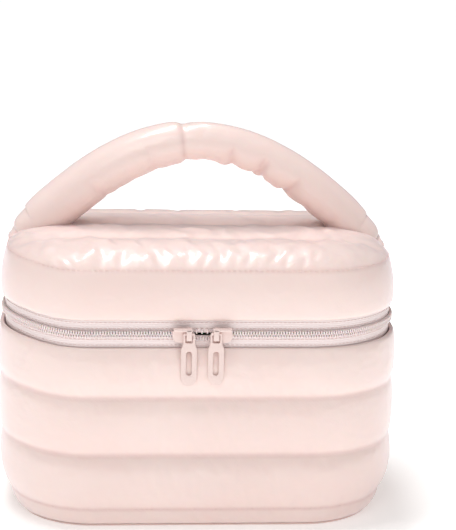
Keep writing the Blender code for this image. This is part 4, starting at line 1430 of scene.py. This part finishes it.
# How deep a fold is when the painted shade in it is full.
HANDLE_FOLD_SHADE_FULL = 2.8 * MM
handle_rows, handle_held, handle_seam_shade = [], [], []
for index in range(HANDLE_ALONG):
    x = spine[index, 0]
    from_end = min(stops[index], stops[-1] - stops[index])
    swell = 1 - math.exp(-((from_end / (13 * MM)) ** 1.6))
    full = HANDLE_FULL_LEFT if x < HANDLE_SEAM_X else HANDLE_FULL_RIGHT
    full -= HANDLE_SLIMMER * math.exp(-((x / HANDLE_SLIM_REACH) ** 2))
    pinch = 1 - 0.13 * math.exp(-abs(x - HANDLE_SEAM_X) / (1.8 * MM))
    thick = (HANDLE_END_THICK + (full - HANDLE_END_THICK) * swell) * pinch
    wide = (HANDLE_END_WIDE + (full - HANDLE_END_WIDE) * swell) * (0.4 + 0.6 * pinch)
    ahead = heading[index]
    upward = np.array([-ahead[2], 0, ahead[0]])
    row = []
    # Painted shade along the cross seam.
    sewn = 0.7 * math.exp(-(((x - HANDLE_SEAM_X) / (1.2 * MM)) ** 2))
    for step in range(HANDLE_AROUND):
        turn = -2 * math.pi * step / HANDLE_AROUND
        under = max(0, -math.sin(turn))
        # Puckers are deepest under the bend and on the right-hand half.
        fold = noise.noise(Vector((stops[index] / (7 * MM), turn * 0.9, 11)))
        depth = (0.1 + 0.8 * under * (1.4 if x > 0 else 0.4)) * MM * swell
        creased = 0.0
        for fold_x, fold_depth, slant in HANDLE_FOLDS:
            off = abs(x - fold_x - slant * 6 * MM * math.cos(turn)) / HANDLE_FOLD_WIDTH
            inner = min(1, 1.6 * max(0, 0.35 - math.sin(turn)))
            creased = max(creased, fold_depth * math.exp(-off) * inner)
        grow = 1 + (depth * fold - creased) / full
        # Painted shade in the folds, darker as the fold is deeper, and along the cross seam.
        handle_seam_shade.append(max(sewn, min(0.8, creased / HANDLE_FOLD_SHADE_FULL)))
        rise = upward * math.sin(turn) * thick * grow
        aside = np.array([0, 1, 0]) * math.cos(turn) * wide * grow
        row.append(spine[index] + rise + aside)
    handle_rows.append(row)
    sewn_here = 1.0 if from_end < 4 * MM or abs(x - HANDLE_SEAM_X) < 0.9 * MM else 0.0
    handle_held += [sewn_here] * HANDLE_AROUND
handle_mesh = grids_mesh("padded_handle", [(np.array(handle_rows), True, False, False)])
face_outward(handle_mesh, close=True)
handle = place_piece(
    "padded_handle",
    handle_mesh,
    nylon,
    None,
    ["handle_cover", "handle_core", "handle_end_left", "handle_end_right"],
)
puff_up(handle, handle_held, pressure=3, spare=0.015, cap=0.9 * MM)
handle_mesh.attributes.new("seam", "FLOAT", "POINT").data.foreach_set("value", handle_seam_shade)
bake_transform(handle)
soften(handle)

# ---- Where it stands --------------------------------------------------------------------------
# A plain pale sweep whose glow is painted light: strong away from the bag, so the backdrop is white,
# and weaker near it, a painted shade round the bag. A large soft light in front, a weaker one from
# the right, and a strip overhead that draws the long highlights on the handle and the top.

FLOOR_HALF = 30.0
FLOOR_FADE = (1 / 0.25, 1 / 0.21, 1.0)
# The floor's emission is painted light. It is weakest round the bag, which paints a shade there.
FLOOR_GLOW_FAR = 0.76
FLOOR_GLOW_NEAR = 0.3
floor_mesh = bpy.data.meshes.new("pale_floor")
floor_mesh.from_pydata(
    [(x * FLOOR_HALF, y * FLOOR_HALF, 0) for x, y in ((-1, -1), (1, -1), (1, 1), (-1, 1))],
    [],
    [(0, 1, 2, 3)],
)
pale_floor, floor_tree, floor_shader = start_material(
    "white_paper_painted_glow",
    {"Roughness": 0.9, "Base Color": linear("#FDFDFC"), "Emission Color": linear("#FFFFFF")},
)
floor_place = add_node(floor_tree, "ShaderNodeTexCoord").outputs["Object"]
floor_fade = add_node(floor_tree, "ShaderNodeMapping", {"Scale": FLOOR_FADE}, {"Vector": floor_place})
floor_near = add_node(
    floor_tree, "ShaderNodeTexGradient", {"gradient_type": "SPHERICAL"}, {"Vector": floor_fade.outputs[0]}
)
floor_glow = add_node(
    floor_tree,
    "ShaderNodeMapRange",
    {"From Max": 0.5, "To Min": FLOOR_GLOW_FAR, "To Max": FLOOR_GLOW_NEAR},
    {"Value": floor_near.outputs["Fac"]},
)
floor_tree.links.new(floor_glow.outputs["Result"], floor_shader.inputs["Emission Strength"])
floor_mesh.materials.append(pale_floor)
studio_floor = bpy.data.objects.new("pale_floor", floor_mesh)
studio_floor.location.z = -0.2 * MM
bpy.context.scene.collection.objects.link(studio_floor)

world = bpy.data.worlds.new("studio")
bpy.context.scene.world = world
world.use_nodes = True
world.node_tree.nodes["Background"].inputs["Color"].default_value = (1.0, 0.985, 0.975, 1)
world.node_tree.nodes["Background"].inputs["Strength"].default_value = 0.27


def soft_light(name, place, aim, size, power):
    """A rectangular soft box that faces a point."""
    lamp = bpy.data.lights.new(name, "AREA")
    lamp.shape = "RECTANGLE"
    lamp.size, lamp.size_y = size
    lamp.energy = power
    light = bpy.data.objects.new(name, lamp)
    light.location = place
    light.rotation_euler = (Vector(aim) - Vector(place)).to_track_quat("-Z", "Y").to_euler()
    bpy.context.scene.collection.objects.link(light)


soft_light("key", (-0.3, -1.05, 1.05), (0, 0, 0.1), (0.6, 0.6), 2.85)
soft_light("fill", (0.55, -1.15, 0.62), (0, 0, 0.14), (0.8, 0.8), 1.2)
soft_light("overhead", (-0.12, 0.08, 1.1), (0, 0, 0.14), (0.7, 0.14), 7.2)

CAMERA_AZIMUTH = -3.0
CAMERA_ELEVATION = 15.3
CAMERA_DISTANCE = 0.9
CAMERA_AIM = Vector((0, 0, 0.102))
CAMERA_ROLL = 0.8

camera_data = bpy.data.cameras.new("view")
camera_data.sensor_width = 36
camera_data.lens = 102.8
camera_data.shift_x = 0.061
camera_data.shift_y = 0.1105
camera_data.clip_start = 0.01
camera_data.clip_end = 50
camera = bpy.data.objects.new("view", camera_data)
azimuth, elevation = math.radians(CAMERA_AZIMUTH), math.radians(CAMERA_ELEVATION)
toward = Vector(
    (math.sin(azimuth) * math.cos(elevation), -math.cos(azimuth) * math.cos(elevation), math.sin(elevation))
)
camera.location = CAMERA_AIM + toward * CAMERA_DISTANCE
facing = (-toward).to_track_quat("-Z", "Y").to_matrix()
camera.rotation_euler = (facing @ Matrix.Rotation(math.radians(CAMERA_ROLL), 3, "Z")).to_euler()
bpy.context.scene.collection.objects.link(camera)
bpy.context.scene.camera = camera
bpy.context.scene.view_settings.view_transform = "Standard"
